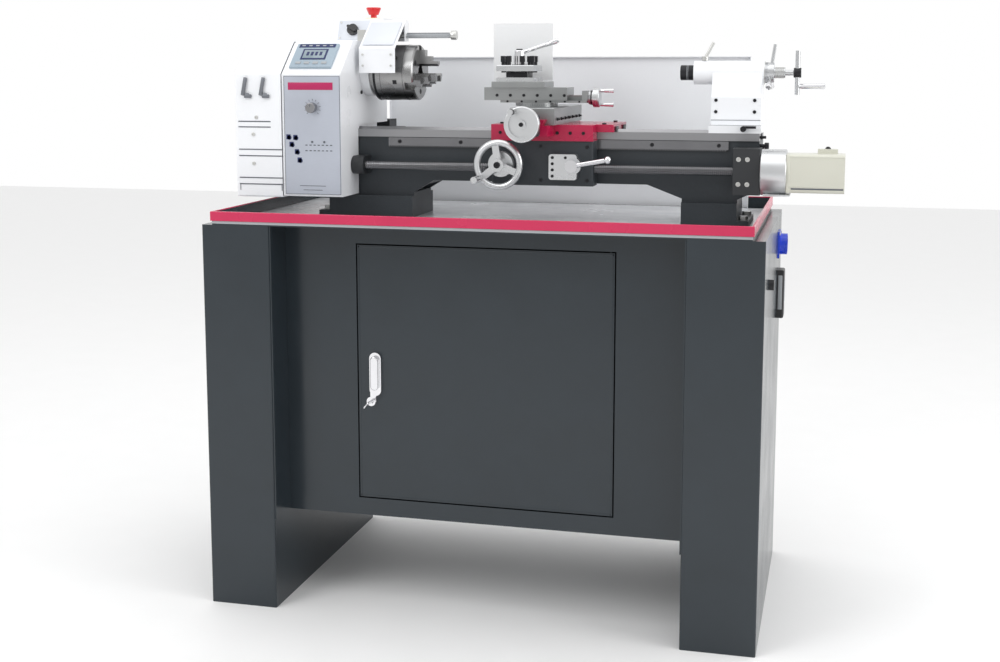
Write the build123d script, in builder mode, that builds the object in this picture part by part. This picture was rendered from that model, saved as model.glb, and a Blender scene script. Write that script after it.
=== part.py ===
"""Bench lathe on a steel cabinet stand, as separate pieces.

The layout measures x to the right from the stand's left side, y back from the pedestals' front
faces and z up from the floor. The plane ground carries that layout into the part's own frame,
whose origin is the middle of the footprint on the floor. The planes machine, front and side carry
what stands on the stand: there the tray's underside is always at tray_bottom, so all of it rides
up with the stand's height.
"""
from build123d import *
import os

# ---- Stand and tray ----
stand_width = 1185.0
stand_depth = 630.0
stand_height = 840.0
pedestal_width = 153.0
sheet = 3.0
fold_radius = 4.0
foot_flange = 34.0
anchor_radius = 6.5
anchor_inset = 19.0
cabinet_recess = 85.0
cabinet_floor = 199.0
door_left = 320.0
door_width = 558.0
door_sill = 240.0
door_height = 556.0
door_gap = 3.0
door_skin = 2.0
door_return = 16.0
pivot_inset = 10.0
pivot_radius = 3.0
tray_bottom = 840.0
tray_inset = 25.0
tray_sheet = 2.0
tray_rim = 27.0
trim_thickness = 3.0
trim_drop = 18.0
splash_inset_left = 215.0
splash_width = 891.0
splash_top = 1198.0
splash_hem = 12.0

# ---- Bed ----
bed_left = 165.0
bed_length = 988.0
bed_top = 1036.0
bed_front = 232.0
bed_width = 135.0
web_inset = 4.0
way_height = 16.0
way_width = 36.0
wall = 14.0
foot_front = 222.0
foot_depth = 156.0
foot_height = 55.0
foot_pad_height = 48.0
left_foot_left = 205.0
left_foot_length = 195.0
right_foot_left = 994.0
right_foot_length = 116.0
foot_ear = 25.0
foot_ear_height = 12.0
bed_underside = 925.0
vee_half_width = 6.0
vee_height = 6.0
vee_from_front = 18.0

# ---- Spindle line ----
spindle_y = 300.0
centre_height = 125.0
spindle_radius = 25.0
spindle_bore = 13.0
boss_radius = 52.0
boss_face = 292.0
chuck_face = 397.0
chuck_body_length = 94.0
chuck_radius = 61.5
chuck_bore = 16.0
jaw_width = 17.8
jaw_tip = 14.0
jaw_reach = 50.0
jaw_depth = 19.8
jaw_nose = 43.0

# ---- Headstock covers ----
cover_front = 125.0
cover_back = 470.0
cover_bottom = 890.0
cover_top = 1230.0
slope_foot = 1159.0
slope_back = 205.0
cover_wall = 2.5
gear_cover_left = 26.0
gear_cover_right = 134.0
spindle_port_radius = 20.0
end_plate_left = 135.0
end_plate_thickness = 6.0
cover_right = 272.0

# ---- Feed screw ----
screw_y = 200.0
screw_z = 959.0
screw_radius = 10.0
journal_radius = 8.0
feed_bracket_left = 1104.0
feed_bracket_length = 56.0
housing_length = 52.0
housing_radius = 47.5
servo_length = 115.0
servo_size = 78.0

# ---- Carriage ----
saddle_left = 590.0
saddle_length = 260.0
saddle_thickness = 16.0
apron_right = 813.0
apron_front = 183.0
apron_bottom = 923.0
apron_top = 1018.0
cross_x = 688.0
cross_width = 96.0
swivel_x = 665.0
post_x = 625.0
post_size = 84.0

# ---- Tailstock ----
tail_left = 1050.0
tail_length = 103.0
barrel_radius = 25.0
barrel_left = 1009.0
quill_radius = 16.0
quill_left = 980.0

# ---- Fits ----
running_gap = 0.05
slide_gap = 0.2
rest_gap = 0.1

# ---- Worked out from the values above ----
feed_bracket_right = feed_bracket_left + feed_bracket_length
housing_right = feed_bracket_right + housing_length
overall_length = housing_right + servo_length
spindle_z = bed_top + centre_height
bed_right = bed_left + bed_length
bed_back = bed_front + bed_width
web_front = bed_front + web_inset
web_back = bed_back - web_inset
vee_y = bed_front + vee_from_front
way_bottom = bed_top - way_height
tray_left = tray_inset
tray_right = stand_width - tray_inset
tray_floor = tray_bottom + tray_sheet
rim_top = tray_bottom + tray_rim
left_foot_right = left_foot_left + left_foot_length
right_foot_right = right_foot_left + right_foot_length
foot_back = foot_front + foot_depth
foot_top = tray_floor + foot_height
foot_pad_top = tray_floor + foot_pad_height
door_right = door_left + door_width
door_top = door_sill + door_height
pivot_x = door_right - pivot_inset
pivot_y = cabinet_recess + pivot_inset
end_plate_right = end_plate_left + end_plate_thickness
chuck_back = chuck_face - chuck_body_length
saddle_right = saddle_left + saddle_length
saddle_bottom = bed_top + rest_gap
saddle_top = saddle_bottom + saddle_thickness
tail_right = tail_left + tail_length

ground = Plane(origin=(-overall_length / 2, -stand_depth / 2, 0))
stand_front = Plane(origin=ground.origin, x_dir=(1, 0, 0), z_dir=(0, -1, 0))
machine = ground.offset(stand_height - tray_bottom)
front = Plane(origin=machine.origin, x_dir=(1, 0, 0), z_dir=(0, -1, 0))
side = Plane(origin=machine.origin, x_dir=(0, 1, 0), z_dir=(1, 0, 0))

os.makedirs("parts", exist_ok=True)


# ---- Helpers ----
def save(piece, name):
    """Label a finished piece and write it as one STEP file."""
    piece.part.label = name
    export_step(piece.part, f"parts/{name}.step")


def block(x_from, x_to, y_from, y_to, z_from, z_to, mode=Mode.ADD):
    """Add or cut a box between two layout distances along each axis."""
    with Locations((x_from, y_from, z_from)):
        Box(x_to - x_from, y_to - y_from, z_to - z_from, align=(Align.MIN,) * 3, mode=mode)


def bar_x(x_from, x_to, y, z, radius, mode=Mode.ADD):
    """Add or cut a round bar along x."""
    with Locations((x_from, y, z)):
        Cylinder(radius, x_to - x_from, rotation=(0, 90, 0), align=(Align.CENTER, Align.CENTER, Align.MIN), mode=mode)


def bar_y(x, y_from, y_to, z, radius, mode=Mode.ADD):
    """Add or cut a round bar along y."""
    with Locations((x, y_to, z)):
        Cylinder(radius, y_to - y_from, rotation=(90, 0, 0), align=(Align.CENTER, Align.CENTER, Align.MIN), mode=mode)


def bar_z(x, y, z_from, z_to, radius, mode=Mode.ADD):
    """Add or cut a round bar along z."""
    with Locations((x, y, z_from)):
        Cylinder(radius, z_to - z_from, align=(Align.CENTER, Align.CENTER, Align.MIN), mode=mode)


def slanted(x, y, z, towards, base=machine):
    """Return a plane at a layout point whose normal is the direction given."""
    return Plane(origin=base.from_local_coords(Vector(x, y, z)), z_dir=towards)


def vee_points(gap):
    """Return the outline of the bed's raised vee, widened by a gap, in y and z."""
    half = vee_half_width + gap
    return [(vee_y - half, bed_top - gap), (vee_y, bed_top + vee_height + gap), (vee_y + half, bed_top - gap)]


def dovetail_points(centre, foot_half, top_half, z_from, z_to):
    """Return the outline of a dovetail that widens upwards."""
    return [
        (centre - foot_half, z_from),
        (centre + foot_half, z_from),
        (centre + top_half, z_to),
        (centre - top_half, z_to),
    ]


# ---- Stand ----
def make_pedestal(name, x_left):
    x_right = x_left + pedestal_width
    with BuildPart(ground) as pedestal:
        block(x_left, x_right, 0, stand_depth, 0, stand_height)
        fillet(pedestal.edges().filter_by(Axis.Z), fold_radius)
        block(x_left + sheet, x_right - sheet, sheet, stand_depth - sheet, sheet, stand_height - sheet, Mode.SUBTRACT)
        block(x_left + foot_flange, x_right - foot_flange, foot_flange, stand_depth - foot_flange, 0, sheet, Mode.SUBTRACT)
        for x in (x_left + anchor_inset, x_right - anchor_inset):
            for y in (anchor_inset, stand_depth - anchor_inset):
                bar_z(x, y, 0, sheet, anchor_radius, Mode.SUBTRACT)
    save(pedestal, name)


def make_cabinet_shell():
    x_left = pedestal_width
    x_right = stand_width - pedestal_width
    lug_height = 8.0
    pin_reach = 12.0
    with BuildPart(ground) as cabinet_shell:
        block(x_left, x_right, cabinet_recess, stand_depth, cabinet_floor, stand_height)
        block(
            x_left + sheet, x_right - sheet, cabinet_recess + sheet, stand_depth - sheet,
            cabinet_floor + sheet, stand_height - sheet, Mode.SUBTRACT,
        )
        block(
            door_left - door_gap, door_right + door_gap, cabinet_recess, cabinet_recess + sheet,
            door_sill - door_gap, door_top + door_gap, Mode.SUBTRACT,
        )
        block(x_left, x_left + sheet, fold_radius, cabinet_recess, cabinet_floor, stand_height)
        block(x_right - sheet, x_right, fold_radius, cabinet_recess, cabinet_floor, stand_height)
        lug_front = cabinet_recess + sheet
        lug_back = pivot_y + pivot_inset
        lug_left = pivot_x - pivot_inset
        lug_right = door_right + 2 * pivot_inset
        block(lug_left, lug_right, lug_front, lug_back, door_sill - door_gap - lug_height, door_sill - door_gap)
        block(lug_left, lug_right, lug_front, lug_back, door_top + door_gap, door_top + door_gap + lug_height)
        bar_z(pivot_x, pivot_y, door_sill - door_gap, door_sill - door_gap + pin_reach, pivot_radius)
        bar_z(pivot_x, pivot_y, door_top + door_gap - pin_reach, door_top + door_gap, pivot_radius)
    save(cabinet_shell, "cabinet_shell")


lock_x = 360.0
lock_bottom = 469.0
lock_height = 95.0
lock_width = 26.0
lock_depth = 8.0
key_x = 350.0
key_z = 456.0


def make_cabinet_door():
    back = cabinet_recess + door_return
    with BuildPart(ground) as cabinet_door:
        block(door_left, door_right, cabinet_recess, back, door_sill, door_top)
        block(
            door_left + door_skin, door_right - door_skin, cabinet_recess + door_skin, back,
            door_sill + door_skin, door_top - door_skin, Mode.SUBTRACT,
        )
        bar_z(pivot_x, pivot_y, door_sill, door_sill + door_skin, pivot_radius + running_gap, Mode.SUBTRACT)
        bar_z(pivot_x, pivot_y, door_top - door_skin, door_top, pivot_radius + running_gap, Mode.SUBTRACT)
    save(cabinet_door, "cabinet_door")


def make_door_lock_plate():
    boss_radius_lock = 10.0
    face = cabinet_recess - lock_depth
    with BuildPart(ground) as door_lock_plate:
        with BuildSketch(stand_front.offset(-cabinet_recess)):
            with Locations((lock_x, lock_bottom + lock_height / 2)):
                SlotOverall(lock_height, lock_width, rotation=90)
            with Locations((key_x, key_z)):
                Circle(boss_radius_lock)
            with Locations(((lock_x + key_x) / 2, key_z + lock_width / 2)):
                Rectangle(lock_width / 2, lock_width)
        extrude(amount=lock_depth)
        bar_y(lock_x, face, cabinet_recess, handle_z, 5.0 + running_gap, Mode.SUBTRACT)
        bar_y(key_x, face, cabinet_recess, key_z, 3.0 + running_gap, Mode.SUBTRACT)
    save(door_lock_plate, "door_lock_plate")


handle_z = 548.0


def make_door_handle():
    handle_length = 74.0
    handle_thickness = 9.0
    face = cabinet_recess - lock_depth - rest_gap
    with BuildPart(ground) as door_handle:
        with BuildSketch(stand_front.offset(-face)):
            with Locations((lock_x, handle_z - handle_length / 2 + lock_width / 3)):
                SlotOverall(handle_length, 2 * lock_width / 3, rotation=90)
        extrude(amount=handle_thickness)
        fillet(door_handle.faces().sort_by(Axis.Y)[0].edges(), 2.5)
        bar_y(lock_x, face - 1, cabinet_recess - 1, handle_z, 5.0)
    save(door_handle, "door_handle")


def make_door_key():
    bow_radius = 11.0
    bow_thickness = 2.5
    shank_front = 58.0
    with BuildPart(ground) as door_key:
        bar_y(key_x, shank_front, cabinet_recess - 1, key_z, 3.0)
        with BuildSketch(slanted(key_x, shank_front - bow_radius + 3, key_z - 2, (0.8, 0, -0.6), ground)):
            Circle(bow_radius)
            Circle(3.0, mode=Mode.SUBTRACT)
        extrude(amount=bow_thickness / 2, both=True)
    save(door_key, "door_key")


ear_bolt_y = (250.0, 350.0)
ear_bolt_radius = 6.0


def ear_bolt_spots():
    """Return the x and y of the four bolts that hold the bed's feet."""
    offsets = foot_ear / 2
    return [(x, y) for x in (left_foot_left - offsets, right_foot_right + offsets) for y in ear_bolt_y]


gland_x = 250.0
gland_y = 470.0
conduit_radius = 9.0
gland_radius = 14.0


def make_chip_tray():
    with BuildPart(machine) as chip_tray:
        block(tray_left, tray_right, 0, stand_depth, tray_bottom, rim_top)
        block(
            tray_left + tray_sheet, tray_right - tray_sheet, tray_sheet, stand_depth - tray_sheet,
            tray_floor, rim_top, Mode.SUBTRACT,
        )
        for x, y in ear_bolt_spots():
            bar_z(x, y, tray_bottom, tray_floor, ear_bolt_radius + slide_gap, Mode.SUBTRACT)
    save(chip_tray, "chip_tray")


def make_tray_trim():
    lip = 2.0
    with BuildPart(machine) as tray_trim:
        block(
            tray_left - trim_thickness, tray_right + trim_thickness, -trim_thickness, stand_depth + trim_thickness,
            rim_top - trim_drop, rim_top + lip,
        )
        fillet(tray_trim.faces().sort_by(Axis.Z)[-1].edges(), 1.5)
        block(tray_left, tray_right, 0, stand_depth, rim_top - trim_drop, rim_top, Mode.SUBTRACT)
        block(
            tray_left + tray_sheet, tray_right - tray_sheet, tray_sheet, stand_depth - tray_sheet,
            rim_top, rim_top + lip, Mode.SUBTRACT,
        )
    save(tray_trim, "tray_trim")


def make_splash_guard():
    x_right = splash_inset_left + splash_width
    y_back = stand_depth - tray_sheet
    y_front = y_back - tray_sheet
    with BuildPart(machine) as splash_guard:
        block(splash_inset_left, x_right, y_front, y_back, tray_floor, splash_top)
        block(splash_inset_left, splash_inset_left + tray_sheet, y_back - splash_hem, y_back, tray_floor, splash_top)
        block(x_right - tray_sheet, x_right, y_back - splash_hem, y_back, tray_floor, splash_top)
        block(splash_inset_left, x_right, y_back - splash_hem, y_back, splash_top - tray_sheet, splash_top)
    save(splash_guard, "splash_guard")


def make_power_inlet():
    inlet_y = 500.0
    inlet_z = 774.0
    flange = 60.0
    plate = 4.0
    collar = 24.0
    reach = 20.0
    with BuildPart(ground) as power_inlet:
        block(stand_width, stand_width + plate, inlet_y - flange / 2, inlet_y + flange / 2, inlet_z - flange / 2, inlet_z + flange / 2)
        bar_x(stand_width + plate, stand_width + reach, inlet_y, inlet_z, collar)
        bar_x(stand_width + plate, stand_width + reach, inlet_y, inlet_z, collar - 3, Mode.SUBTRACT)
        for turn in (90, 210, 330):
            spot = Vector(11, 0, 0).rotate(Axis.Z, turn)
            bar_x(stand_width + plate, stand_width + reach - 2, inlet_y + spot.X, inlet_z + spot.Y, 2.4)
    save(power_inlet, "power_inlet")


def make_connector_hood():
    hood_y = 500.0
    hood_width = 44.0
    hood_bottom = 606.0
    hood_height = 110.0
    hood_depth = 16.0
    with BuildPart(ground) as connector_hood:
        block(stand_width, stand_width + hood_depth, hood_y - hood_width / 2, hood_y + hood_width / 2, hood_bottom, hood_bottom + hood_height)
        fillet(connector_hood.faces().sort_by(Axis.X)[-1].edges(), 4)
        bar_x(stand_width, stand_width + 10, 150, 733, 11)
    save(connector_hood, "connector_hood")


# ---- Bed ----
def bed_outline():
    """Return the side outline of the bed and its feet, in x and z."""
    rise = 28.0
    run = 46.0
    end_rise = 21.0
    return [
        (left_foot_left, tray_floor),
        (left_foot_right, tray_floor),
        (left_foot_right, foot_top),
        (left_foot_right + run, bed_underside),
        (right_foot_left - run - rise, bed_underside),
        (right_foot_left, foot_top),
        (right_foot_left, tray_floor),
        (right_foot_right, tray_floor),
        (right_foot_right, foot_top),
        (bed_right, foot_top + end_rise),
        (bed_right, way_bottom),
        (bed_left, way_bottom),
        (bed_left, foot_top + end_rise),
        (left_foot_left, foot_top),
    ]


bed_pockets = ((300.0, 430.0), (450.0, 600.0), (620.0, 770.0), (790.0, 940.0))


def make_bed():
    with BuildPart(machine) as bed:
        with BuildSketch(front.offset(-web_front)):
            with BuildLine():
                Polyline(bed_outline(), close=True)
            make_face()
        extrude(amount=web_front - web_back)
        block(left_foot_left, left_foot_right, foot_front, foot_back, tray_floor, foot_pad_top)
        block(right_foot_left, right_foot_right, foot_front, foot_back, tray_floor, foot_pad_top)
        block(left_foot_left - foot_ear, left_foot_left, foot_front, foot_back, tray_floor, tray_floor + foot_ear_height)
        block(right_foot_right, right_foot_right + foot_ear, foot_front, foot_back, tray_floor, tray_floor + foot_ear_height)
        block(bed_left, bed_right, bed_front, bed_front + way_width, way_bottom, bed_top)
        block(bed_left, bed_right, bed_back - way_width, bed_back, way_bottom, bed_top)
        with BuildSketch(side.offset(bed_left)):
            with BuildLine():
                Polyline(vee_points(0), close=True)
            make_face()
        extrude(amount=bed_length)
        for x_from, x_to in bed_pockets:
            block(x_from, x_to, web_front + wall, web_back - wall, tray_floor + foot_height, bed_top, Mode.SUBTRACT)
        for x, y in ear_bolt_spots():
            bar_z(x, y, tray_floor, tray_floor + foot_ear_height, ear_bolt_radius + slide_gap, Mode.SUBTRACT)
    save(bed, "bed")


rack_front = 230.0


def make_rack():
    with BuildPart(machine) as rack:
        block(344, 1090, rack_front, web_front, 1001, way_bottom - 1)
        for x in range(370, 1080, 140):
            bar_y(x, rack_front, rack_front + 3, 1010, 4.5, Mode.SUBTRACT)
    save(rack, "rack")


def make_foot_bolts():
    head_height = 8.0
    head_radius = 10.0
    bearing = tray_floor + foot_ear_height
    with BuildPart(machine) as foot_bolts:
        for x, y in ear_bolt_spots():
            bar_z(x, y, tray_bottom + rest_gap, bearing, ear_bolt_radius)
        with BuildSketch(machine.offset(bearing)):
            with Locations(*ear_bolt_spots()):
                RegularPolygon(head_radius, 6)
        extrude(amount=head_height)
    save(foot_bolts, "foot_bolts")


def make_cable_conduit():
    socket_height = 12.0
    x_out = 400.0
    z_out = 938.0
    route = [
        (gland_x, gland_y, tray_floor + socket_height),
        (gland_x, gland_y, 888),
        (285, 462, 910),
        (345, 440, 914),
        (395, 410, 934),
        (x_out, web_back + socket_height, z_out),
    ]
    points = [machine.from_local_coords(Vector(*point)) for point in route]
    with BuildPart(machine) as cable_conduit:
        with BuildLine() as path:
            FilletPolyline(*points, radius=26)
        with BuildSketch(Plane(origin=path.wire() @ 0, z_dir=path.wire() % 0)):
            Circle(conduit_radius)
        sweep(path=path.wire())
        bar_z(gland_x, gland_y, tray_floor, tray_floor + socket_height, gland_radius)
        bar_y(x_out, web_back, web_back + socket_height + 2, z_out, gland_radius)
    save(cable_conduit, "cable_conduit")


# ---- Headstock, covers and drive ----
def make_headstock():
    head_left = 168.0
    head_right = cover_right - cover_wall - 1
    crown = 61.0
    with BuildPart(machine) as headstock:
        block(head_left, head_right, bed_front, bed_back, bed_top, spindle_z + crown)
        fillet(headstock.faces().sort_by(Axis.Z)[-1].edges().filter_by(Axis.X), 18)
        bar_x(head_right, boss_face, spindle_y, spindle_z, boss_radius)
        bar_x(head_left, boss_face, spindle_y, spindle_z, spindle_radius + running_gap, Mode.SUBTRACT)
        with BuildSketch(side.offset(head_left)):
            with BuildLine():
                Polyline(vee_points(0), close=True)
            make_face()
        extrude(amount=head_right - head_left, mode=Mode.SUBTRACT)
    save(headstock, "headstock")


motor_y = 430.0
motor_z = 985.0
motor_radius = 50.0
motor_shaft = 7.0
motor_pulley_radius = 25.0
spindle_pulley_radius = 45.0
pulley_left = 80.0
pulley_right = 100.0
hinge_x = end_plate_left + end_plate_thickness / 2
hinge_y = 475.0
hinge_spots = (900.0, 1150.0)
hinge_pin = 2.5
knuckle_height = 24.0


def gear_outline():
    """Return the side outline of the gear cover, in y and z."""
    return [
        (cover_front, cover_bottom),
        (cover_back, cover_bottom),
        (cover_back, cover_top),
        (slope_back, cover_top),
        (cover_front, slope_foot),
    ]


def make_end_plate():
    lug = 10.0
    edge = cover_wall + 1
    stand_off = 15.0
    with BuildPart(machine) as end_plate:
        with BuildSketch(side.offset(end_plate_left)):
            with BuildLine():
                Polyline(gear_outline(), close=True)
            make_face()
            offset(amount=-edge, kind=Kind.INTERSECTION, mode=Mode.REPLACE)
        extrude(amount=end_plate_thickness)
        bar_x(end_plate_left, end_plate_right, spindle_y, spindle_z, spindle_radius + 1, Mode.SUBTRACT)
        bar_x(end_plate_left, end_plate_right, motor_y, motor_z, motor_shaft + 1, Mode.SUBTRACT)
        for y in (spindle_y - 30, spindle_y + 30):
            bar_x(end_plate_right, bed_left, y, 975, stand_off)
        for z in hinge_spots:
            block(end_plate_left, end_plate_right, cover_back - edge, hinge_y + 4, z - lug, z)
            bar_z(hinge_x, hinge_y, z, z + knuckle_height, hinge_pin)
    save(end_plate, "end_plate")


def make_gear_cover():
    knuckle = 5.0
    with BuildPart(machine) as gear_cover:
        with BuildSketch(side.offset(gear_cover_left)):
            with BuildLine():
                Polyline(gear_outline(), close=True)
            make_face()
        extrude(amount=gear_cover_right - gear_cover_left)
        fillet(gear_cover.edges().filter_by(Axis.X).group_by(Axis.Y)[0], 4)
        fillet(gear_cover.faces().sort_by(Axis.X)[0].edges(), 3)
        with BuildSketch(side.offset(gear_cover_left + cover_wall)):
            with BuildLine():
                Polyline(gear_outline(), close=True)
            make_face()
            offset(amount=-cover_wall, kind=Kind.INTERSECTION, mode=Mode.REPLACE)
        extrude(amount=gear_cover_right - gear_cover_left, mode=Mode.SUBTRACT)
        bar_x(gear_cover_left, gear_cover_left + cover_wall, spindle_y, spindle_z, spindle_port_radius, Mode.SUBTRACT)
        for z in hinge_spots:
            low = z + rest_gap
            high = z + knuckle_height
            block(gear_cover_right - 12, hinge_x, cover_back, hinge_y, low, high)
            bar_z(hinge_x, hinge_y, low, high, knuckle)
            bar_z(hinge_x, hinge_y, low, high, hinge_pin + running_gap, Mode.SUBTRACT)
    save(gear_cover, "gear_cover")


box_step = 1046.0
switch_back = 430.0


def make_headstock_cover():
    outline = [
        (cover_front, cover_bottom + 3),
        (bed_front, cover_bottom + 3),
        (bed_front, box_step),
        (switch_back, box_step),
        (switch_back, cover_top),
        (slope_back, cover_top),
        (cover_front, slope_foot),
    ]
    x_left = end_plate_right
    with BuildPart(machine) as headstock_cover:
        with BuildSketch(side.offset(x_left)):
            with BuildLine():
                Polyline(outline, close=True)
            make_face()
        extrude(amount=cover_right - x_left)
        fillet(headstock_cover.edges().filter_by(Axis.X).group_by(Axis.Y)[0], 4)
        with BuildSketch(side.offset(x_left)):
            with BuildLine():
                Polyline(outline, close=True)
            make_face()
            offset(amount=-cover_wall, kind=Kind.INTERSECTION, mode=Mode.REPLACE)
        extrude(amount=cover_right - cover_wall - x_left, mode=Mode.SUBTRACT)
        block(x_left, cover_right - cover_wall, bed_front, bed_back + 1, box_step, box_step + cover_wall, Mode.SUBTRACT)
        bar_x(cover_right - cover_wall, cover_right, spindle_y, spindle_z, boss_radius + 0.5, Mode.SUBTRACT)
    save(headstock_cover, "headstock_cover")


panel_thickness = 1.5
knob_x = 208.0
knob_z = 1086.0


def make_control_panel():
    with BuildPart(machine) as control_panel:
        block(end_plate_right + 1, cover_right - 1, cover_front - panel_thickness, cover_front, cover_bottom + 8, slope_foot - 5)
        bar_y(knob_x, cover_front - panel_thickness, cover_front, knob_z, 3.2, Mode.SUBTRACT)
    save(control_panel, "control_panel")


def make_speed_knob():
    face = cover_front - panel_thickness - rest_gap
    with BuildPart(machine) as speed_knob:
        bar_y(knob_x, face - 16, face, knob_z, 11)
        fillet(speed_knob.faces().sort_by(Axis.Y)[0].edges(), 2)
        bar_y(knob_x, face, cover_front, knob_z, 3)
    save(speed_knob, "speed_knob")


def make_display_unit():
    display_width = 96.0
    display_height = 76.0
    display_thickness = 6.0
    display_x = 199.0
    slope_y = (cover_front + slope_back) / 2
    slope_z = (slope_foot + cover_top) / 2
    run = slope_back - cover_front
    rise = cover_top - slope_foot
    spot = machine.from_local_coords(Vector(display_x, slope_y, slope_z))
    face = Plane(origin=spot, x_dir=(1, 0, 0), z_dir=(0, -rise, run))
    with BuildPart(face) as display_unit:
        Box(display_width, display_height, display_thickness, align=(Align.CENTER, Align.CENTER, Align.MIN))
        fillet(display_unit.faces().sort_by(Axis(spot, face.z_dir))[-1].edges(), 1.5)
    save(display_unit, "display_unit")


switch_left = 176.0
switch_right = 288.0
switch_top = 1284.0
switch_front = 345.0
switch_slope = 20.0
estop_x = 253.0
estop_y = 398.0
stem_radius = 7.0


def make_switch_box():
    with BuildPart(machine) as switch_box:
        with BuildSketch(side.offset(switch_left)):
            with BuildLine():
                Polyline(
                    (switch_front, cover_top), (switch_back, cover_top), (switch_back, switch_top),
                    (switch_front + switch_slope, switch_top), close=True,
                )
            make_face()
        extrude(amount=switch_right - switch_left)
        fillet(switch_box.edges().filter_by(Axis.Z), 3)
        bar_z(estop_x, estop_y, switch_top, switch_top + 2, 15)
        bar_z(estop_x, estop_y, switch_top - 16, switch_top + 2, stem_radius + running_gap, Mode.SUBTRACT)
    save(switch_box, "switch_box")


def make_estop_button():
    head_bottom = switch_top + 9
    with BuildPart(machine) as estop_button:
        bar_z(estop_x, estop_y, switch_top - 8, head_bottom, stem_radius)
        with Locations((estop_x, estop_y, head_bottom)):
            Cone(11, 17, 14, align=(Align.CENTER, Align.CENTER, Align.MIN))
        bar_z(estop_x, estop_y, head_bottom + 14, head_bottom + 17, 17)
        fillet(estop_button.faces().sort_by(Axis.Z)[-1].edges(), 2)
    save(estop_button, "estop_button")


selector_x = 218.0


def make_selector_knob():
    rise = switch_top - cover_top
    normal = (0, -rise, switch_slope)
    with BuildPart(machine) as selector_knob:
        with BuildSketch(slanted(selector_x, switch_front + switch_slope / 2, (cover_top + switch_top) / 2, normal).offset(rest_gap)):
            Circle(13)
        extrude(amount=8)
        with BuildSketch(slanted(selector_x, switch_front + switch_slope / 2, (cover_top + switch_top) / 2, normal).offset(rest_gap + 8)):
            SlotOverall(24, 7, rotation=60)
        extrude(amount=9)
    save(selector_knob, "selector_knob")


shaft_y = 300.0
shaft_z = 1243.0
shaft_radius = 6.0


def make_guard_shaft():
    with BuildPart(machine) as guard_shaft:
        block(cover_right - 19, cover_right, shaft_y - 13, shaft_y + 13, cover_top, shaft_z + 13)
        bar_x(cover_right - 1, 478, shaft_y, shaft_z, shaft_radius)
        bar_x(470, 482, shaft_y, shaft_z, 10)
    save(guard_shaft, "guard_shaft")


def make_chuck_guard():
    x_left = 283.0
    x_right = 366.0
    thickness = 2.0
    left_plate = [(213, 1160), (213, 1214), (292, 1276), (312, 1276), (312, 1230), (284, 1230), (226, 1160)]
    right_plate = [(285, 1230), (285, 1270.5), (292, 1276), (312, 1276), (312, 1230)]
    with BuildPart(machine) as chuck_guard:
        with BuildSketch(side.offset(x_left)):
            with BuildLine():
                Polyline((213, 1160), (213, 1214), (292, 1276), (312, 1276), (312, 1230))
                offset(amount=thickness, side=Side.RIGHT)
            make_face()
        extrude(amount=x_right - x_left)
        for x, outline in ((x_left, left_plate), (x_right - thickness, right_plate)):
            with BuildSketch(side.offset(x)):
                with BuildLine():
                    Polyline(outline, close=True)
                make_face()
            extrude(amount=thickness)
            bar_x(x, x + thickness, shaft_y, shaft_z, shaft_radius + running_gap, Mode.SUBTRACT)
    save(chuck_guard, "chuck_guard")


def make_main_motor():
    length = 180.0
    with BuildPart(machine) as main_motor:
        bar_x(end_plate_right, end_plate_right + length, motor_y, motor_z, motor_radius)
        fillet(main_motor.faces().sort_by(Axis.X)[-1].edges(), 8)
        block(end_plate_right + 50, end_plate_right + 130, motor_y + 20, motor_y + motor_radius + 22, motor_z + 5, motor_z + 65)
        bar_x(end_plate_right, end_plate_right + 20, motor_y, motor_z, motor_shaft + running_gap, Mode.SUBTRACT)
    save(main_motor, "main_motor")


def make_motor_pulley():
    with BuildPart(machine) as motor_pulley:
        bar_x(pulley_left, pulley_right, motor_y, motor_z, motor_pulley_radius)
        bar_x(pulley_left, end_plate_right + 18, motor_y, motor_z, motor_shaft)
    save(motor_pulley, "motor_pulley")


def make_drive_belt():
    gap = 0.3
    thickness = 5.0
    spindle_wrap = spindle_pulley_radius + gap
    motor_wrap = motor_pulley_radius + gap
    with BuildPart(machine) as drive_belt:
        for grow, mode in ((thickness, Mode.ADD), (0, Mode.SUBTRACT)):
            with BuildSketch(side.offset(pulley_left + 2)):
                with Locations((spindle_y, spindle_z)):
                    Circle(spindle_wrap + grow)
                with Locations((motor_y, motor_z)):
                    Circle(motor_wrap + grow)
                make_hull()
            extrude(amount=pulley_right - pulley_left - 4, mode=mode)
    save(drive_belt, "drive_belt")


def make_spindle():
    with BuildPart(machine) as spindle:
        bar_x(60, chuck_back, spindle_y, spindle_z, spindle_radius)
        bar_x(pulley_left, pulley_right, spindle_y, spindle_z, spindle_pulley_radius)
        bar_x(boss_face + 1, chuck_back, spindle_y, spindle_z, 50)
        bar_x(60, chuck_back, spindle_y, spindle_z, spindle_bore, Mode.SUBTRACT)
    save(spindle, "spindle")


def make_chuck_body():
    key_x = chuck_face - 42
    chuck_plane = side.offset(chuck_face)
    with BuildPart(machine) as chuck_body:
        bar_x(chuck_back, chuck_face, spindle_y, spindle_z, chuck_radius)
        chamfer(chuck_body.faces().sort_by(Axis.X)[-1].edges(), 3)
        bar_x(chuck_back, chuck_face, spindle_y, spindle_z, chuck_bore, Mode.SUBTRACT)
        for angle in (90, 210, 330):
            with BuildSketch(chuck_plane):
                with Locations((spindle_y, spindle_z)):
                    with Locations(Rot(0, 0, angle) * Pos(chuck_radius / 2 + 6, 0, 0)):
                        Rectangle(chuck_radius + 2, jaw_width + slide_gap)
            extrude(amount=-jaw_depth - rest_gap, mode=Mode.SUBTRACT)
            hole = Rot(degrees_to_x(angle + 60), 0, 0)
            with Locations(Pos(key_x, spindle_y, spindle_z) * hole * Pos(0, 0, chuck_radius - 14)):
                Cylinder(5.5, 20, align=(Align.CENTER, Align.CENTER, Align.MIN), mode=Mode.SUBTRACT)
    save(chuck_body, "chuck_body")


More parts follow.
